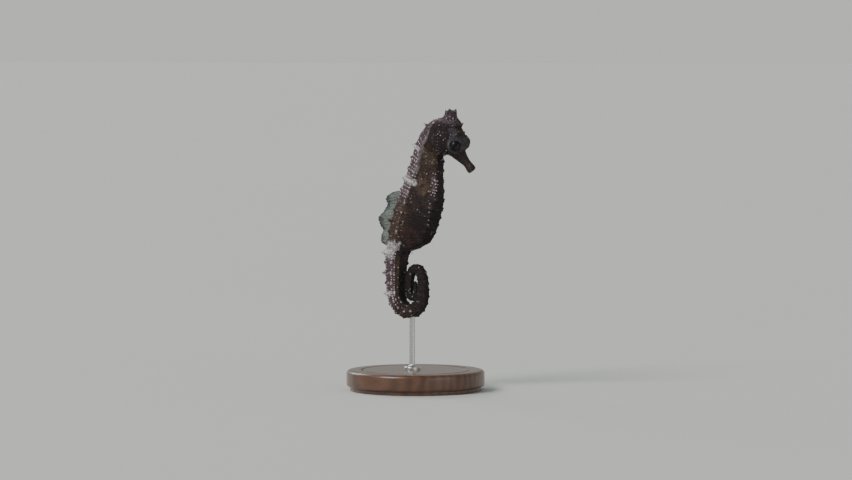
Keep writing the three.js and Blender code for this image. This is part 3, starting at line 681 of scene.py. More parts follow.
def wood_material(dark, light):
    """Turned dark walnut under satin lacquer: long grain along X and fine open pores."""
    material = new_material("lacquered_walnut")
    tree = material.node_tree
    place = add_node(tree, "ShaderNodeTexCoord").outputs["Object"]
    # Dark and light growth layers, each about 1.6 mm wide and cut lengthwise: stretched 9 times along X.
    grain = add_node(tree, "ShaderNodeMapping", {"Vector": place, "Scale": (0.11, 1.0, 1.0)}).outputs[0]
    drift = add_node(tree, "ShaderNodeTexNoise", {
        "Vector": grain, "Scale": per_mm(9.0), "Detail": 3.0}).outputs["Fac"]
    layers = add_node(tree, "ShaderNodeTexWave", {
        "Vector": grain, "Scale": per_mm(10.0), "Distortion": 5.0, "Detail": 3.0, "Detail Scale": 1.6,
    }, bands_direction="Y").outputs["Fac"]
    tone = add_node(tree, "ShaderNodeMath", {0: drift, 1: 0.6}, operation="MULTIPLY").outputs[0]
    tone = add_node(tree, "ShaderNodeMath", {
        0: layers, 1: 0.32, 2: tone}, operation="MULTIPLY_ADD").outputs[0]
    colour = add_node(tree, "ShaderNodeMix", {0: tone, 6: dark, 7: light}, data_type="RGBA").outputs[2]
    # Pores are about 0.3 mm wide and 3.5 mm long.
    pore_place = add_node(tree, "ShaderNodeMapping", {"Vector": place, "Scale": (0.08, 1.0, 1.0)}).outputs[0]
    pores = add_node(tree, "ShaderNodeTexNoise", {
        "Vector": pore_place, "Scale": per_mm(0.28), "Detail": 2.0}).outputs["Fac"]
    pore = add_node(tree, "ShaderNodeMapRange", {
        0: pores, 1: 0.6, 2: 0.72, 3: 0.0, 4: 0.75}, interpolation_type="SMOOTHSTEP").outputs[0]
    colour = add_node(tree, "ShaderNodeMix", {
        0: pore, 6: colour, 7: linear("#120a06")}, data_type="RGBA").outputs[2]
    bump = add_node(tree, "ShaderNodeBump", {
        "Height": pore, "Strength": 0.35, "Distance": 0.05 * MM}, invert=True).outputs[0]
    shader = add_node(tree, "ShaderNodeBsdfPrincipled", {
        "Base Color": colour, "Roughness": 0.38, "Normal": bump, "IOR": 1.5,
        "Coat Weight": 0.35, "Coat Roughness": 0.16})
    add_node(tree, "ShaderNodeOutputMaterial", {"Surface": shader.outputs[0]})
    return material


def steel_material():
    """Stainless rod, brushed round: fine scratches across its length."""
    material = new_material("brushed_stainless")
    tree = material.node_tree
    place = add_node(tree, "ShaderNodeTexCoord").outputs["Object"]
    stretched = add_node(tree, "ShaderNodeMapping", {"Vector": place, "Scale": (0.15, 0.15, 1.0)}).outputs[0]
    scratch = add_node(tree, "ShaderNodeTexNoise", {
        "Vector": stretched, "Scale": per_mm(0.12), "Detail": 3.0}).outputs["Fac"]
    rough = add_node(tree, "ShaderNodeMapRange", {0: scratch, 1: 0.3, 2: 0.7, 3: 0.2, 4: 0.36}).outputs[0]
    tint = add_node(tree, "ShaderNodeMix", {
        0: scratch, 6: linear("#a9a8a4"), 7: linear("#d2d1cd")}, data_type="RGBA").outputs[2]
    bump = add_node(tree, "ShaderNodeBump", {
        "Height": scratch, "Strength": 0.12, "Distance": 0.02 * MM}).outputs[0]
    shader = add_node(tree, "ShaderNodeBsdfPrincipled", {
        "Base Color": tint, "Metallic": 1.0, "Roughness": rough, "Normal": bump})
    add_node(tree, "ShaderNodeOutputMaterial", {"Surface": shader.outputs[0]})
    return material


def floor_material(code):
    """Plain matt studio floor."""
    material = new_material("matt_floor_paint")
    tree = material.node_tree
    place = add_node(tree, "ShaderNodeTexCoord").outputs["Object"]
    cloud = add_node(tree, "ShaderNodeTexNoise", {
        "Vector": place, "Scale": 3.0, "Detail": 2.0}).outputs["Fac"]
    rough = add_node(tree, "ShaderNodeMapRange", {0: cloud, 1: 0.3, 2: 0.7, 3: 0.7, 4: 0.8}).outputs[0]
    shader = add_node(tree, "ShaderNodeBsdfPrincipled", {"Base Color": linear(code), "Roughness": rough})
    add_node(tree, "ShaderNodeOutputMaterial", {"Surface": shader.outputs[0]})
    return material


# ---- Settings ----
class SkinSettings(bpy.types.PropertyGroup):
    """The skin."""

    voxel: FloatProperty(
        name="Mesh width", description="Width of the skin's faces, in mm", default=0.24, min=0.15, max=1)
    granule: FloatProperty(
        name="Granule height", description="Height of the fine granules, in mm", default=0.06, min=0, max=0.3)
    bead: FloatProperty(
        name="Bead height", description="Height of the bony beads, in mm", default=0.2, min=0, max=0.5)


class FinSettings(bpy.types.PropertyGroup):
    """The fins."""

    dorsal_rays: IntProperty(name="Dorsal rays", description="Rays of the dorsal fin", default=19, min=8)
    pectoral_rays: IntProperty(name="Pectoral rays", description="Rays of a pectoral fin", default=16, min=6)
    membrane: FloatProperty(
        name="Membrane", description="Thickness of the membrane, in mm", default=0.12, min=0.05, max=0.5)
    ray: FloatProperty(
        name="Ray", description="Thickness of a ray at its foot, in mm", default=0.3, min=0.1, max=0.6)


class StandSettings(bpy.types.PropertyGroup):
    """The stand's wood."""

    wood_dark: FloatVectorProperty(
        name="Dark grain", description="Darkest wood colour", subtype="COLOR", size=3,
        default=linear("#2b1810")[:3])
    wood_light: FloatVectorProperty(
        name="Light grain", description="Lightest wood colour", subtype="COLOR", size=3,
        default=linear("#6d4730")[:3])


class StageSettings(bpy.types.PropertyGroup):
    """Floor, lights and camera."""

    azimuth: FloatProperty(
        name="Azimuth", description="The camera's turn from the right side towards the front",
        default=math.radians(38), subtype="ANGLE")
    elevation: FloatProperty(
        name="Elevation", description="The camera's height above the level", default=math.radians(3),
        subtype="ANGLE")
    lens: FloatProperty(name="Lens", description="Focal length", default=150, min=20, unit="CAMERA")
    view_width: FloatProperty(
        name="View width", description="Width of the view at the model", default=332 * MM, unit="LENGTH")


# ---- Pieces ----
def tube(points, mouth, tip):
    """Faces of a closed tube over rows by columns of points, with a fan at each end."""
    rows, columns = points.shape[:2]
    index = np.arange(rows * columns).reshape(rows, columns)
    following = np.roll(index, -1, axis=1)
    quads = np.stack((index[:-1], following[:-1], following[1:], index[1:]), 2).reshape(-1, 4)
    first, last = rows * columns, rows * columns + 1
    fans = [(first, b, a) for a, b in zip(index[0], following[0])]
    fans += [(last, a, b) for a, b in zip(index[-1], following[-1])]
    return np.concatenate((points.reshape(-1, 3), [mouth, tip])), quads.tolist() + fans


def round_ridges(columns):
    """Ridge numbers round a section, from the dorsal midline down the right side and back."""
    v = 8 * np.arange(columns) / columns
    return np.where(v <= 4, -v, 8 - v)


def body_tube():
    """The whole animal's tube with its rings, ridges and spines, and each point's g and v."""
    # Rows of points, so many ring numbers apart on the head, the trunk and the tail.
    g = np.concatenate((
        np.arange(-8, 0, 0.04), np.arange(0, TRUNK_RINGS, 0.05), np.arange(TRUNK_RINGS, LAST_RING, 0.0625),
        [LAST_RING]))
    v = round_ridges(COLUMNS)
    points = body_grid(g, v)
    middle = body_grid(g, v, 0.001)
    out = points - middle
    out /= np.linalg.norm(out, axis=2)[..., None]
    points = points + out * skin_relief(g, v, points)[..., None]
    # The lips roll in to a small round mouth.
    along = middle[12, 0] - middle[0, 0]
    along /= np.linalg.norm(along)
    lips = [
        middle[0] + (points[0] - middle[0]) * share + along * depth
        for share, depth in ((0.3, 0.75), (0.42, 0.45), (0.55, 0.08), (0.78, -0.18))
    ]
    points = np.concatenate((lips, points))
    mouth = middle[0, 0] + along * 0.8
    tail_tip = middle[-1, 0] + (middle[-1, 0] - middle[-8, 0]) * 0.8
    whole, faces = tube(points, mouth, tail_tip)
    all_g = np.concatenate(([-8] * len(lips), g))
    return whole, faces, np.repeat(all_g, len(v)), np.tile(v, len(all_g))


def ball(x, y, z, radii):
    """A ball or ellipsoid on the head, leaning with it."""
    select_none()
    bpy.ops.mesh.primitive_uv_sphere_add(segments=48, ring_count=24, radius=MM)
    piece = bpy.context.object
    piece.scale = radii
    piece.rotation_euler = (HEAD_ROLL, 0, 0)
    piece.location = Vector(on_head(x, y, z)) * MM
    settle(piece)
    return piece


def spike(foot, tip, radius):
    """A blunt spine from a foot to a tip on the head."""
    foot, tip = Vector(on_head(*foot)) * MM, Vector(on_head(*tip)) * MM
    along = tip - foot
    select_none()
    bpy.ops.mesh.primitive_cone_add(
        vertices=20, radius1=radius * MM, radius2=0.16 * MM, depth=along.length, end_fill_type="TRIFAN")
    piece = bpy.context.object
    piece.location = (foot + tip) / 2
    piece.rotation_mode = "QUATERNION"
    piece.rotation_quaternion = along.to_track_quat("Z", "Y")
    settle(piece)
    return piece


def coronet():
    """The crown: a waisted column with five blunt points round its rim, its back sloping to the nape."""
    height, back = CORONET["height"], CORONET["back"]
    radius, depth = CORONET["radius"], 1.2
    select_none()
    bpy.ops.mesh.primitive_cylinder_add(
        vertices=40, radius=radius * MM, depth=depth * MM, location=(0, 0, -depth / 2 * MM))
    piece = bpy.context.object
    bpy.ops.object.mode_set(mode="EDIT")
    bpy.ops.mesh.select_mode(type="FACE")
    bpy.ops.mesh.select_all(action="DESELECT")
    shape = bmesh.from_edit_mesh(piece.data)
    for face in shape.faces:
        face.select_set(face.normal.z > 0.9)
    # Each step raises the top face and sets its new radius, in mm.
    for rise, new_radius in ((0.7, 2.85), (0.71, 2.35), (0.8, 2.05), (0.7, 1.9), (0.9, 1.93), (0.89, 2.0)):
        bpy.ops.mesh.extrude_region_move(TRANSFORM_OT_translate={"value": (0, 0, rise * MM)})
        scale = new_radius / radius
        bpy.ops.transform.resize(value=(scale, scale, 1), center_override=(0, 0, 0))
        radius = new_radius
    for _ in range(2):
        bpy.ops.mesh.inset(thickness=0.5 * MM)
        bpy.ops.transform.translate(value=(0, 0, -0.3 * MM))
    bpy.ops.object.mode_set(mode="OBJECT")
    x, y, z = points_of(piece).T
    reach = np.hypot(x, y)
    up = np.clip(z / height, 0, 1)
    star = np.clip(np.cos(5 * np.arctan2(y, x)), 0, 1) ** 2
    grow = 1 + 0.32 * star * up**2
    slope = np.where(x < 0, 1 + 1.8 * (1 - up) ** 0.6, 1)
    rim = (reach > 1.75) * (z > height - 0.1)
    points = np.stack((np.maximum(x * grow * slope, -back), y * 0.82 * grow, z + 0.9 * star * rim), 1)
    turn = Matrix.Rotation(HEAD_ROLL, 3, "X") @ Matrix.Rotation(-CORONET["lean"], 3, "Y")
    set_points(piece, points @ np.array(turn).T + on_head(CORONET["x"], 0, CORONET["z"]))
    return piece


def gaze_of(side):
    """Turret centre and unit gaze of one eye, in mm."""
    centre = on_head(TURRET["x"], side * TURRET["y"], TURRET["z"])
    ahead = on_head(
        TURRET["x"] + math.sin(EYE["gaze"]), side * (TURRET["y"] + math.cos(EYE["gaze"])), TURRET["z"])
    return centre, ahead - centre


def pupil_of(side):
    """Unit vector that one pupil looks along."""
    ahead = on_head(
        math.sin(PUPIL_TURN), side * math.cos(PUPIL_TURN) * math.cos(PUPIL_DIP), -math.sin(PUPIL_DIP))
    ahead = ahead - on_head(0, 0, 0)
    return ahead / np.linalg.norm(ahead)


def round_turret(points, side):
    """The points from one turret's centre, how far they are from it and their angle from its gaze."""
    centre, gaze = gaze_of(side)
    away = points - centre
    reach = np.linalg.norm(away, axis=1)
    return away, reach, np.arccos(np.clip(away @ gaze / np.maximum(reach, 1e-6), -1, 1))


def open_sockets(points):
    """Dishes each turret round its eye, raises a soft lid round the opening and wrinkles the skin behind."""
    lid_height, wrinkle_height, cup_floor = 0.2, 0.07, 1.7
    for side in (-1, 1):
        away, reach, angle = round_turret(points, side)
        near = reach < TURRET["radius"] + 1.0
        cup = near * (1 - ease((angle - SOCKET_OPENING + 0.1) / 0.1))
        lid = near * np.exp(-(((angle - SOCKET_OPENING - 0.08) / 0.09) ** 2))
        wrinkle = near * band(angle, SOCKET_OPENING + 0.2, SOCKET_OPENING + 0.75, 0.15) * np.cos(angle * 29)
        moved = mix(reach + lid_height * lid + wrinkle_height * wrinkle, cup_floor, cup)
        points = gaze_of(side)[0] + away * np.where(near, moved / np.maximum(reach, 1e-6), 1)[:, None]
    return points


def bead_rows(place, g):
    """Rows of small bony beads round the body: their points, how white each is, from 0 to 1, and its radius.

    place is the tube's points, by rows of g and columns round the section."""
    generator = np.random.default_rng(11)
    around = round_ridges(COLUMNS)
    first_ring, tail_ring, last_ring, gap = -2.9, 11.2, 44, 1.0
    # On the trunk the beads stand gap mm apart, on the tail in columns at these ridge numbers.
    tail_columns = [round(COLUMNS * v / 8) for v in (0.5, 1.2, 2.0, 2.4, 2.9, 3.5)]
    tail_columns += [COLUMNS - column for column in tail_columns]
    beads = []
    at = first_ring
    while at < last_ring:
        row = int(np.argmin(np.abs(g - at)))
        if at < tail_ring:
            line = np.concatenate((place[row], place[row][:1]))
            run = np.concatenate(([0], np.cumsum(np.linalg.norm(np.diff(line, axis=0), axis=1))))
            count = int(run[-1] / gap)
            steps = (np.arange(count) + generator.uniform(-0.33, 0.33, count)) / count % 1
            columns = np.searchsorted(run, steps * run[-1]) % COLUMNS
        else:
            columns = tail_columns
        for column in columns:
            v = around[column]
            chance, strength = white_chance(g[row], v)
            chosen = generator.random() < chance
            tone = generator.uniform(0.4, 1) * strength if chosen else generator.uniform(0, 0.16) * chance
            beads.append((*place[row, column], tone, generator.uniform(*ROW_BEADS)))
        # The step to the next row, in rings.
        at += np.interp(at, (-3, 0, 6, 11, 11.2, 16, 18, 44), (0.42, 0.33, 0.3, 0.33, 0.25, 0.25, 0.5, 0.5))
    for ring, v, radius in WHITE_KNOBS:
        beads += [(*body_grid(ring, side * v)[0, 0], 1.0, radius) for side in (-1, 1)]
    return beads


def scattered_beads(place, gap, brightest, seed):
    """Beads scattered over these points, at least gap mm apart."""
    generator = np.random.default_rng(seed)
    chosen = []
    for point in generator.permutation(place):
        if all(np.linalg.norm(point - other) > gap for other in chosen):
            chosen.append(point)
    return [
        (*point, brightest * generator.random() ** 1.5, generator.uniform(*SCATTERED_BEADS))
        for point in chosen
    ]


def granules(points, normals, cell, height, seed):
    """Lifts the points of rounded granules about cell mm apart, on a jittered lattice in space."""
    generator = np.random.default_rng(seed)
    low = np.floor(points / cell).astype(int)
    origin = low.min(0) - 1
    shape = low.max(0) - origin + 3
    jitter = generator.random((*shape, 3))
    best = np.full(len(points), 9.0)
    for step in np.ndindex(3, 3, 3):
        at = low - origin + np.array(step) - 1
        centre = (at + origin + jitter[at[:, 0], at[:, 1], at[:, 2]]) * cell
        best = np.minimum(best, np.linalg.norm(points - centre, axis=1) / cell)
    return normals * (height * (1 - ease((best - 0.1) / 0.6)))[:, None]


def wander(points):
    """A smooth drift from -1 to 1 over the body, in waves about 4 mm long."""
    x, y, z = points.T
    waves = np.sin(0.9 * x + 0.7 * z + 1.1 * y) + np.sin(1.2 * z - 0.8 * x + 0.9 * y + 2)
    return (waves + np.sin(1.3 * x - 0.6 * y + 4)) / 3


def patches(name, g, v):
    """How strong the strongest of the zone's patches is at ring numbers g and ridge numbers v."""
    return np.maximum.reduce([
        band(v, *ridges) * band(g, *rings) * strength for ridges, rings, strength in PATCHES[name]
    ])


def zones_of(g, v, drift=0):
    """How strong each colour zone is at ring numbers g and ridge numbers v.

    drift moves the borders of the patches by up to about half a ring."""
    v = np.abs(v)
    saddles, white = np.zeros(np.shape(g)), np.zeros(np.shape(g))
    for at, width, reach, strength in SADDLES:
        across = strength * (1 - ease((v - reach) / 0.5 + 0.5))
        on_crest = across * np.exp(-(((g - round(at)) / 0.15) ** 2))
        saddles += 0.62 * across * np.exp(-(((g - at) / width) ** 2)) + 0.75 * on_crest
        white += 0.7 * on_crest
    crest = np.exp(-(((g - np.round(g)) / 0.13) ** 2))
    ridged = np.exp(-(((v - np.round(v)) / 0.22) ** 2)) * (v > 0.5)
    # A smooth pale line runs from the nape round the back of the gill cover and down the side.
    line_at = np.interp(g, (-0.9, -0.55, -0.2, 0.4), (1.0, 1.5, 1.9, 2.02))
    line = np.exp(-(((v + 0.06 * drift - line_at) / 0.18) ** 2)) * band(g, -0.9, 3.4, 0.9)
    line *= np.interp(g, (0, 2), (1, 0.65))
    g, v = g + 0.8 * drift, v + 0.18 * drift
    # Mauve is also all that lies above the line, and the chest and flank.
    above_line = (1 - ease((v - line_at) / 0.3 + 0.5)) * band(g, -1.2, 5.9, 1.0) * 0.7
    front = patches("chest", g, v) + patches("flank", g, v)
    mauve = np.maximum.reduce((above_line, front, patches("mauve", g, v)))
    brown = patches("brown", g, v)
    belly = patches("belly", g, v) * (1 - 0.8 * brown)
    # The keel's darkening is partly its own colour, partly painted shade on the ventral face, which faces
    # away from the light.
    keel_and_shade = patches("keel_and_shade", g, v) * np.interp(g, (4, 7), (0.55, 0.9))
    coil = ease((g - 17.6) / 3.5) * 0.8
    throat = (0.65 + 0.35 * ease((v - 2.5) / 0.5)) * patches("throat", g, v)
    return {
        "olive": patches("olive", g, v),
        "moss": patches("moss", g, v),
        "brown": brown,
        "mauve": mauve * (1 - 0.8 * keel_and_shade),
        "dark": np.maximum.reduce((belly, keel_and_shade, coil, throat)),
        "russet": np.maximum(patches("russet", g, v), coil * ridged * band(g, 18, 34, 3) * 0.7),
        "line": line,
        "pale": np.clip(np.maximum(saddles, 0.45 * crest * mauve), 0, 1.4),
        "white": np.clip(white, 0, 1.2),
    }


def white_chance(g, v):
    """The chance that a bead is white, and how white it then is."""
    zone = {name: float(strength) for name, strength in zones_of(g, v).items()}
    bright = min(max(zone["pale"], 1.3 * zone["mauve"]), 1)
    chance = max(0.92 * bright, 0.15 * zone["olive"], 0.32 * zone["brown"], 0.1)
    chance *= 1 - 0.8 * zone["dark"]
    if g < 0:
        chance = max(chance, 0.22)
    return chance, 0.4 + 0.6 * bright


def paint_skin(piece, points, g, v, crown, beads):
    """Stores at each point how strong each colour zone is, how far its nearest bead is and how white that is.

    Returns how high each point stands on its bead, from 0 to 1."""
    zone = zones_of(g, v, wander(points))
    v = np.abs(v)
    turret, rim, turret_edge = np.zeros(len(g)), np.zeros(len(g)), TURRET["radius"] + 0.2
    for side in (-1, 1):
        away, reach, angle = round_turret(points, side)
        near = 1 - ease((reach - turret_edge) / 0.5)
        turret = np.maximum(turret, near)
        behind = ease((-away[:, 0] - 0.4) / 1.4) * ease((away[:, 2] + 2.2) / 1.6)
        rim = np.maximum(rim, near * behind * band(angle, 0.7, 1.25, 0.2))
    snout = 1 - ease((g + 5.3) / 0.8)
    grey = np.maximum(turret, patches("temple", g, v)) * 0.9
    underjaw = band(v, 2.8, 5, 0.5) * (band(g, -6.2, -5.4, 0.9) + band(g, -9, -7.4, 0.8)) * 0.34
    bare = (1 - turret) * (1 - snout)
    tips = np.zeros(len(g))
    for ring in range(1, LAST_PALE_TIP + 1):
        for number in (1, 2):
            length = spine_length(ring, number)
            for side in (-1, 1):
                foot = body_grid(ring, side * number)
                out = (foot - body_grid(ring, side * number, 0.001))[0, 0]
                tip = foot[0, 0] + out / np.linalg.norm(out) * length
                away = np.linalg.norm(points - tip, axis=1)
                share = 0.9 if ring == 1 or number == 2 else 0.6
                tips = np.maximum(tips, share * (1 - ease((away - 0.2) / 0.5)))
    nape_tip = np.array(PAIRED_SPINES[-1][1])
    for tip, share, size in (
        (nape_tip, 1.4, 1.8), (nape_tip * (1, -1, 1), 1.4, 1.8), (np.array(NOSE_SPINE[1]), 0.5, 1.0),
    ):
        away = np.linalg.norm(points - on_head(*tip), axis=1)
        tips = np.maximum(tips, share * (1 - ease((away - 0.3) / size)))
    nearest, apart = nearest_to(points, [bead[:3] for bead in beads])
    tone, radius = np.array(beads)[nearest, 3:].T
    apart = apart / radius
    strengths = zone | {
        "olive": zone["olive"] * bare,
        "mauve": zone["mauve"] * bare,
        "dark": np.clip(zone["dark"] * (1 - turret), 0, 1),
        "crown": crown,
        "grey": grey,
        "snout": snout,
        "line": zone["line"] * bare,
        "rim": rim,
        "pale": np.maximum.reduce((zone["pale"] * bare, tips, underjaw)),
        "pink": np.maximum(tips * band(g, 3.5, 18, 1) * 0.6, underjaw),
        "bead_apart": np.minimum(apart, 3),
        "bead_white": tone * (1 - 0.85 * turret) * (1 - snout),
    }
    for name, strength in strengths.items():
        set_attribute(piece, name, strength)
    return ease(1.6 * (1 - apart)) * (1 - turret) * (1 - snout)


class SEAHORSE_OT_skin(bpy.types.Operator):
    """Makes the one skin over snout, head, crown, neck, trunk and tail"""

    bl_idname = "seahorse.skin"
    bl_label = "Skin"

    def execute(self, context):
        settings = context.scene.seahorse_skin
        tube_points, faces, tube_g, tube_v = body_tube()
        parts, cover_points = [mesh_piece("skin", tube_points, faces)], []
        for side in (-1, 1):
            parts.append(ball(TURRET["x"], side * TURRET["y"], TURRET["z"], [TURRET["radius"]] * 3))
            parts.append(ball(GILL_COVER["x"], side * GILL_COVER["y"], GILL_COVER["z"], GILL_COVER["radii"]))
            cover_points.append(points_of(parts[-1]))
            for foot, tip, radius in PAIRED_SPINES:
                mirrored = [(x, side * y, z) for x, y, z in (foot, tip)]
                parts.append(spike(*mirrored, radius))
        parts.append(spike(*NOSE_SPINE))
        parts.append(coronet())
        crown_points, cover_points = points_of(parts[-1]), np.concatenate(cover_points)
        skin = join("skin", parts)
        apply_modifier(skin, "REMESH", mode="VOXEL", voxel_size=settings.voxel * MM)
        points = points_of(skin)
        tube_points = tube_points[:-2]  # without the middles of the two end fans
        nearest, _ = nearest_to(points, tube_points)
        g, v = tube_g[nearest], tube_v[nearest]
        on_crown = on_head(CORONET["x"], 0, CORONET["z"])
        crown = 1 - ease((np.hypot(*(points - on_crown).T[:2]) - CORONET["radius"]) / 1.6)
        crown *= ease((points[:, 2] - on_crown[2] + 1.2) / 1.4)
        head = (1 - ease((g + 0.9) / 0.8)) * (1 - 0.75 * crown)
        points = relax(skin, points, weight=0.5 * head, rounds=6)
        points = relax(skin, points, weight=np.full(len(points), 0.35), rounds=1)
        points = open_sockets(points)
        set_points(skin, points)
        away = np.minimum(*(round_turret(points, side)[1] for side in (-1, 1)))
        rough = ease((away - TURRET["radius"]) / 0.8) * ease((g + 5.4) / 1.2)
        lift = granules(points, normals_of(skin), cell=0.62, height=settings.granule, seed=7)
        points = points + lift * (0.25 + 0.75 * rough)[:, None]
        rows = tube_points.reshape(-1, COLUMNS, 3)
        row_g = tube_g.reshape(-1, COLUMNS)[:, 0]
        beads = bead_rows(rows, row_g)
        beads += scattered_beads(crown_points, gap=0.9, brightest=0.65, seed=5)
        beads += scattered_beads(cover_points, gap=1.0, brightest=0.6, seed=3)
        domed = paint_skin(skin, points, g, v, crown, beads)
        set_points(skin, points + normals_of(skin) * (settings.bead * domed)[:, None])
        nodes = [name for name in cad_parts
                 if name.startswith(("snout", "head", "coronet", "neck", "trunk_", "tail_"))]
        finish_piece(skin, skin_material(), "skin", *nodes)
        return {"FINISHED"}


class SEAHORSE_OT_eyes(bpy.types.Operator):
    """Makes the two eyes, each with a low cornea over its pupil"""

    bl_idname = "seahorse.eyes"
    bl_label = "Eyes"

    def execute(self, context):
        material = eye_material()
        for side, name in ((-1, "right"), (1, "left")):
            turret, gaze = gaze_of(side)
            select_none()
            bpy.ops.mesh.primitive_uv_sphere_add(segments=64, ring_count=40, radius=MM)
            eye = bpy.context.object
            eye.name = eye.data.name = f"eyeball_{name}"
            points = points_of(eye)
            away = np.arccos(np.clip(points[:, 2], -1, 1))
            turn = points[:, :2] / np.maximum(np.hypot(points[:, 0], points[:, 1]), 1e-6)[:, None]
            bulge = 0.12 * (1 - ease((away - 0.2) / 0.45))
            facing = Vector(pupil_of(side)).to_track_quat("Z", "Y").to_matrix()
            shaped = points * (EYE["radius"] + bulge)[:, None] @ np.array(facing).T
            set_points(eye, shaped + turret + gaze * EYE["out"])
            set_attribute(eye, "from_pupil", away)
            around = eye.data.attributes.new("round_pupil", "FLOAT_VECTOR", "POINT")
            around.data.foreach_set("vector", np.column_stack((turn, np.zeros(len(turn)))).ravel())
            finish_piece(eye, material, "eye", f"eye_{name}")
        return {"FINISHED"}


def fin_sheet(name, rays, rows, place, settings):
    """A fin from its place function: a membrane that thickens into rays and thins to its free edge."""
    per_ray = 8
    columns = rays * per_ray
    u, t = np.meshgrid(np.linspace(0, 1, columns + 1), np.linspace(0, 1, rows + 1), indexing="ij")
    ray = (0.5 + 0.5 * np.cos(2 * np.pi * u * rays)) ** 3
    notch = 0.04 * (1 - ray)
    middle = place(u, t * (1 - notch))
    across = np.cross(np.gradient(middle, axis=0), np.gradient(middle, axis=1))
    across /= np.maximum(np.linalg.norm(across, axis=2), 1e-9)[..., None]
    half = mix(settings.membrane, settings.ray * (1 - 0.6 * t), ray) * (1 - 0.5 * t**6) / 2
    sides = [middle + across * half[..., None], middle - across * half[..., None]]
    count = (columns + 1) * (rows + 1)
    index = np.arange(count).reshape(columns + 1, rows + 1)
    quads = np.stack((index[:-1, :-1], index[1:, :-1], index[1:, 1:], index[:-1, 1:]), 2).reshape(-1, 4)
    rim = np.concatenate((index[:, 0], index[-1, 1:], index[-2::-1, -1], index[0, -2:0:-1]))
    rim_faces = [(a + count, b + count, b, a) for a, b in zip(rim, np.roll(rim, -1))]
    faces = quads.tolist() + (quads[:, ::-1] + count).tolist() + rim_faces
    fin = mesh_piece(name, np.concatenate([s.reshape(-1, 3) for s in sides]), faces)
    layer = fin.data.uv_layers.new(name="FinUV")
    corner = np.empty(len(fin.data.loops), int)
    fin.data.loops.foreach_get("vertex_index", corner)
    flat = np.column_stack((u.ravel(), t.ravel()))[corner % count]
    layer.data.foreach_set("uv", flat.ravel())
    set_attribute(fin, "ray", np.tile(ray.ravel() * (1 - 0.35 * t.ravel()), 2))
    select_only(fin)
    bpy.ops.object.mode_set(mode="EDIT")
    bpy.ops.mesh.select_all(action="SELECT")
    bpy.ops.mesh.normals_make_consistent(inside=False)
    bpy.ops.object.mode_set(mode="OBJECT")
    return fin


def dorsal_fin_place(u, t):
    """The dorsal fin: rooted from ring 5 to 10.65, leaning down, rippling as it beats."""
    longest = 9.6
    g = mix(5.0, 10.65, u[:, 0])
    root = body_grid(g, 0)[:, 0]
    middle = body_grid(g, 0, 0.001)[:, 0]
    out = root - middle
    out /= np.linalg.norm(out, axis=1)[:, None]
    angle = np.radians(mix(-25.0, -6.0, u[:, 0]))
    ray = np.stack((
        out[:, 0] * np.cos(angle) + out[:, 2] * np.sin(angle), 0 * angle,
        out[:, 2] * np.cos(angle) - out[:, 0] * np.sin(angle)), 1)
    wave = np.cos(2 * np.pi * (u - 0.05) / 0.4)
    slope = mix(0.93, 1, ease(u / 0.45)) * (1 - 0.5 * ease((u - 0.4) / 0.6))
    front = 1 - 0.3 * np.clip(1 - u / 0.06, 0, 1) ** 2
    end = np.sqrt(1 - np.clip((u - 0.8) / 0.2, 0, 0.97) ** 2)
    reach = t * longest * slope * front * end
    points = root[:, None] - out[:, None] * 0.3 + ray[:, None] * reach[..., None]
    points[..., 1] -= 1.4 * t * wave
    points[..., 1] += 0.28 * t * np.sin(2 * np.pi * u * 6.5)
    return points


def pectoral_fin_place(side):
    """A pectoral fin: a small fan behind the gill cover."""
    ring, longest = 0.15, 4.2

    def place(u, t):
        """Points of the fin, u along its foot and t out along its rays."""
        v = side * mix(2.3, 2.85, u[:, 0])
        root = body_grid(ring, v)[0]
        out = root - body_grid(ring, v, 0.5)[0]
        back = body_grid(0.75, v)[0] - root
        down = (body_grid(ring, side * 3) - body_grid(ring, side * 1.4))[0]
        out, back, down = (a / np.linalg.norm(a, axis=1)[:, None] for a in (out, back, down))
        angle = np.radians(mix(-42.0, 6.0, u[:, 0]))[:, None]
        off = math.radians(10)
        ray = (back * np.cos(angle) + down * np.sin(angle)) * math.cos(off) + out * math.sin(off)
        edge = np.sin(np.pi * (0.2 + 0.6 * u)) ** 0.7
        points = (root + out * 0.3)[:, None] + ray[:, None] * (t * longest * edge)[..., None]
        return points + out[:, None] * (0.2 * t * np.sin(2 * np.pi * u * 2.5))[..., None]

    return place


def anal_fin_place(u, t):
    """The small anal fin under the end of the trunk."""
    foot, longest = (10.8, 4), 1.8
    root = body_grid(*foot)[0, 0]
    out = root - body_grid(*foot, 0.5)[0, 0]
    out /= np.linalg.norm(out)
    across = (u - 0.5) * 1.3 * (0.5 + 0.9 * t)
    down = np.array((0, 0, -1.0))
    along, drop = t * longest * 0.75 + across * 0.3, t * longest * 0.6 - across * 0.6
    return root + out * along[..., None] + down * drop[..., None]


class SEAHORSE_OT_fins(bpy.types.Operator):
    """Makes the dorsal fin, the two pectoral fins and the anal fin"""

    bl_idname = "seahorse.fins"
    bl_label = "Fins"

    def execute(self, context):
        settings = context.scene.seahorse_fins
        thick = fin_material(
            "mottled_fin_membrane", 0.56, 0.68, ("#35413a", "#556259", "#222b26", "#3f4a43", "#8b928a"))
        clear = fin_material(
            "clear_fin_membrane", 0.05, 0.26, ("#4c4233", "#5f5545", "#5c5243", "#6d6252", "#857a6b"))
        dorsal = fin_sheet("fin_dorsal", settings.dorsal_rays, 36, dorsal_fin_place, settings)
        finish_piece(dorsal, thick, "fin", "dorsal_fin")
        for side, name in ((-1, "right"), (1, "left")):
            fin = fin_sheet(
                f"fin_pectoral_{name}", settings.pectoral_rays, 20, pectoral_fin_place(side), settings)
            finish_piece(fin, clear, "fin", f"pectoral_fin_{name}")
        anal = fin_sheet("fin_anal", 4, 12, anal_fin_place, settings)
        finish_piece(anal, clear, "fin", "anal_fin")
        return {"FINISHED"}


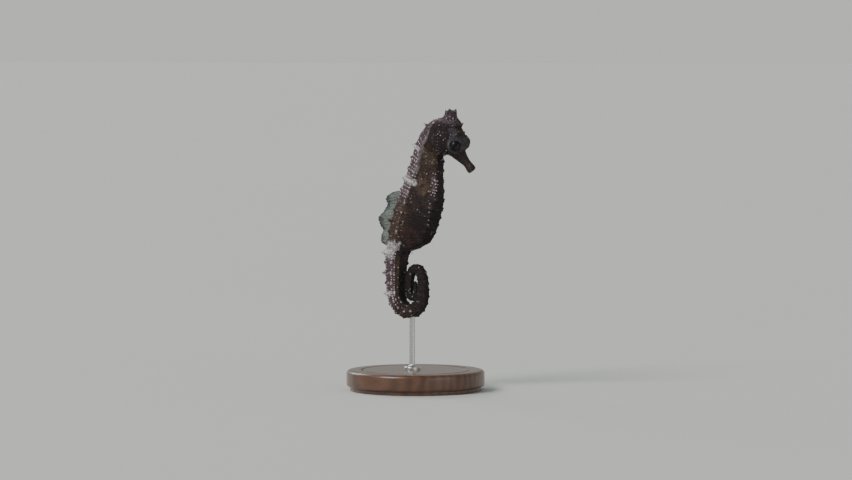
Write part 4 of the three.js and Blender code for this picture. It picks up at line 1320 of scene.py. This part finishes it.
def turned(name, profile, sides):
    """A turned piece: a profile of (radius, height) in mm spun round Z and closed."""
    select_none()
    radius, height = profile[0]
    bpy.ops.mesh.primitive_circle_add(
        vertices=sides, radius=radius * MM, location=(0, 0, 0), fill_type="NGON")
    piece = bpy.context.object
    piece.name = piece.data.name = name
    bpy.ops.object.mode_set(mode="EDIT")
    bpy.ops.mesh.select_all(action="SELECT")
    bpy.ops.transform.translate(value=(0, 0, height * MM))
    for (radius, height), (new_radius, new_height) in zip(profile, profile[1:]):
        bpy.ops.mesh.extrude_region_move(TRANSFORM_OT_translate={"value": (0, 0, (new_height - height) * MM)})
        scale = new_radius / radius
        bpy.ops.transform.resize(value=(scale, scale, 1), center_override=(0, 0, 0))
    bpy.ops.mesh.select_all(action="SELECT")
    bpy.ops.mesh.normals_make_consistent(inside=False)
    bpy.ops.object.mode_set(mode="OBJECT")
    return piece


def arc(centre, radius, first, last, steps):
    """Points of a round stretch of a profile, angles in degrees from outwards up."""
    angles = np.radians(np.linspace(first, last, steps))
    return [(centre[0] + radius * math.cos(a), centre[1] + radius * math.sin(a)) for a in angles]


class SEAHORSE_OT_stand(bpy.types.Operator):
    """Makes the turned wooden base and the steel rod with its collar"""

    bl_idname = "seahorse.stand"
    bl_label = "Stand"

    def execute(self, context):
        settings = context.scene.seahorse_stand
        _, high = (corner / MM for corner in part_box("stand_base"))
        radius, height = high.x, high.z
        profile = [(radius - 1.4, 0), (radius - 1.4, 1.4)]
        profile += arc((radius - 1.0, 2.6), 1.0, -90, 0, 6)
        profile += arc((radius - 1.4, height - 1.4), 1.4, 0, 90, 8)
        profile += arc((radius - 6.0, height), 0.5, 0, -180, 8)
        profile += [(radius - 6.6, height), (4.0, height)]
        base = turned("base", profile, 160)
        wood = wood_material((*settings.wood_dark, 1), (*settings.wood_light, 1))
        finish_piece(base, wood, "base_wood", "stand_base")

        low, high = (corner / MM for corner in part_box("stand_rod"))
        collar = (high.x - low.x) / 2
        bottom, top, rod = height - 0.02, high.z, 1.1
        profile = [(collar, bottom), (collar, bottom + 0.5)]
        profile += arc((collar - 0.6, bottom + 0.7), 0.6, 0, 75, 6)
        profile += arc((rod + 1.2, bottom + 2.35), 1.2, -90, -180, 8)
        profile += [(rod, top - 0.2), (rod - 0.2, top)]
        steel = turned("rod", profile, 64)
        middle = (low.x + high.x) / 2
        set_points(steel, points_of(steel) + (middle, 0, 0))
        finish_piece(steel, steel_material(), "rod_steel", "stand_rod")
        for piece in (base, steel):
            select_only(piece)
            bpy.ops.object.shade_smooth_by_angle(angle=math.radians(35))
        return {"FINISHED"}


class SEAHORSE_OT_stage(bpy.types.Operator):
    """Sets the pale floor, the soft lights and the camera"""

    bl_idname = "seahorse.stage"
    bl_label = "Stage"

    def execute(self, context):
        settings = context.scene.seahorse_stage
        select_none()
        bpy.ops.mesh.primitive_plane_add(size=80, location=(0, 0, 0))
        floor = bpy.context.object
        floor.name = "floor"
        floor.data.materials.append(floor_material("#c9cac6"))

        # The room is as bright as the lit floor at the horizon, so no line shows between them.
        world = bpy.data.worlds.new("soft_room")
        world.use_nodes = True
        tree = world.node_tree
        background = tree.nodes["Background"]
        direction = add_node(tree, "ShaderNodeTexCoord").outputs["Generated"]
        height = add_node(tree, "ShaderNodeSeparateXYZ", {0: direction}).outputs["Z"]
        share = add_node(tree, "ShaderNodeMapRange", {
            0: height, 1: 0.02, 2: 0.25, 3: 0.0, 4: 1.0}, interpolation_type="SMOOTHSTEP").outputs[0]
        shade = add_node(tree, "ShaderNodeMix", {
            0: share, 6: linear("#cacbc7"), 7: linear("#a0a5a3")}, data_type="RGBA").outputs[2]
        tree.links.new(shade, background.inputs["Color"])
        context.scene.world = world

        a, e = settings.azimuth, settings.elevation
        back = Vector((math.sin(a) * math.cos(e), -math.cos(a) * math.cos(e), math.sin(e)))
        right = Vector((math.cos(a), math.sin(a), 0))
        up = back.cross(right)
        # The foot of the coil stands at this column and row of the frame.
        foot, foot_column, foot_row, mm_per_pixel = Vector((4.68, 0, LIFT)), 425.0, 319.0, 0.39
        target = foot + (
            right * (IMAGE_WIDTH / 2 - foot_column) + up * (foot_row - IMAGE_HEIGHT / 2)) * mm_per_pixel
        target *= MM
        sensor = 36.0
        distance = settings.view_width / sensor * settings.lens
        camera = bpy.data.objects.new("camera", bpy.data.cameras.new("camera"))
        context.scene.collection.objects.link(camera)
        camera.data.sensor_width = sensor
        camera.data.lens = settings.lens
        camera.data.clip_start = 0.01
        camera.location = target + back * distance
        camera.rotation_mode = "QUATERNION"
        camera.rotation_quaternion = back.to_track_quat("Z", "Y")
        context.scene.camera = camera

        # Broad even lamps, from high on the camera's left, from its right and from behind: direction that the
        # light comes from, width as an angle, strength.
        lights = (
            ("key", back * 0.5 - right * 0.6 + Vector((0, 0, 0.6)), math.radians(26), 2.4),
            ("fill", back * 0.7 + right * 0.7 + Vector((0, 0, 0.1)), math.radians(43), 0.55),
            ("rim", -right * 0.5 - back * 0.6 + Vector((0, 0, 0.5)), math.radians(30), 1.0),
        )
        for name, offset, width, strength in lights:
            data = bpy.data.lights.new(name, "SUN")
            data.angle = width
            data.energy = strength
            lamp = bpy.data.objects.new(name, data)
            lamp.location = target + offset
            lamp.rotation_mode = "QUATERNION"
            lamp.rotation_quaternion = offset.to_track_quat("Z", "Y")
            context.scene.collection.objects.link(lamp)
        return {"FINISHED"}


class SEAHORSE_PT_panel(bpy.types.Panel):
    """Lists the makers of the model's pieces"""

    bl_label = "Seahorse"
    bl_idname = "SEAHORSE_PT_panel"
    bl_space_type = "VIEW_3D"
    bl_region_type = "UI"
    bl_category = "Seahorse"

    def draw(self, context):
        layout = self.layout
        for operator, group in OPERATORS:
            layout.operator(operator.bl_idname)
            settings = getattr(context.scene, group, None)
            for name in getattr(type(settings), "__annotations__", {}):
                layout.prop(settings, name)


OPERATORS = (
    (SEAHORSE_OT_stage, "seahorse_stage"),
    (SEAHORSE_OT_skin, "seahorse_skin"),
    (SEAHORSE_OT_eyes, ""),
    (SEAHORSE_OT_fins, "seahorse_fins"),
    (SEAHORSE_OT_stand, "seahorse_stand"),
)
GROUPS = {
    "seahorse_stage": StageSettings, "seahorse_skin": SkinSettings, "seahorse_fins": FinSettings,
    "seahorse_stand": StandSettings,
}


def register():
    """Registers the settings, the makers and the panel."""
    for group in GROUPS.values():
        bpy.utils.register_class(group)
    for operator, _ in OPERATORS:
        bpy.utils.register_class(operator)
    bpy.utils.register_class(SEAHORSE_PT_panel)
    for name, group in GROUPS.items():
        setattr(bpy.types.Scene, name, PointerProperty(type=group))


def unregister():
    """Takes out what register put in."""
    for name in GROUPS:
        delattr(bpy.types.Scene, name)
    bpy.utils.unregister_class(SEAHORSE_PT_panel)
    for operator, _ in reversed(OPERATORS):
        bpy.utils.unregister_class(operator)
    for group in reversed(GROUPS.values()):
        bpy.utils.unregister_class(group)


def main():
    """Makes the whole model."""
    register()
    bpy.ops.seahorse.stage()
    bpy.ops.seahorse.skin()
    bpy.ops.seahorse.eyes()
    bpy.ops.seahorse.fins()
    bpy.ops.seahorse.stand()


if __name__ == "__main__":
    main()
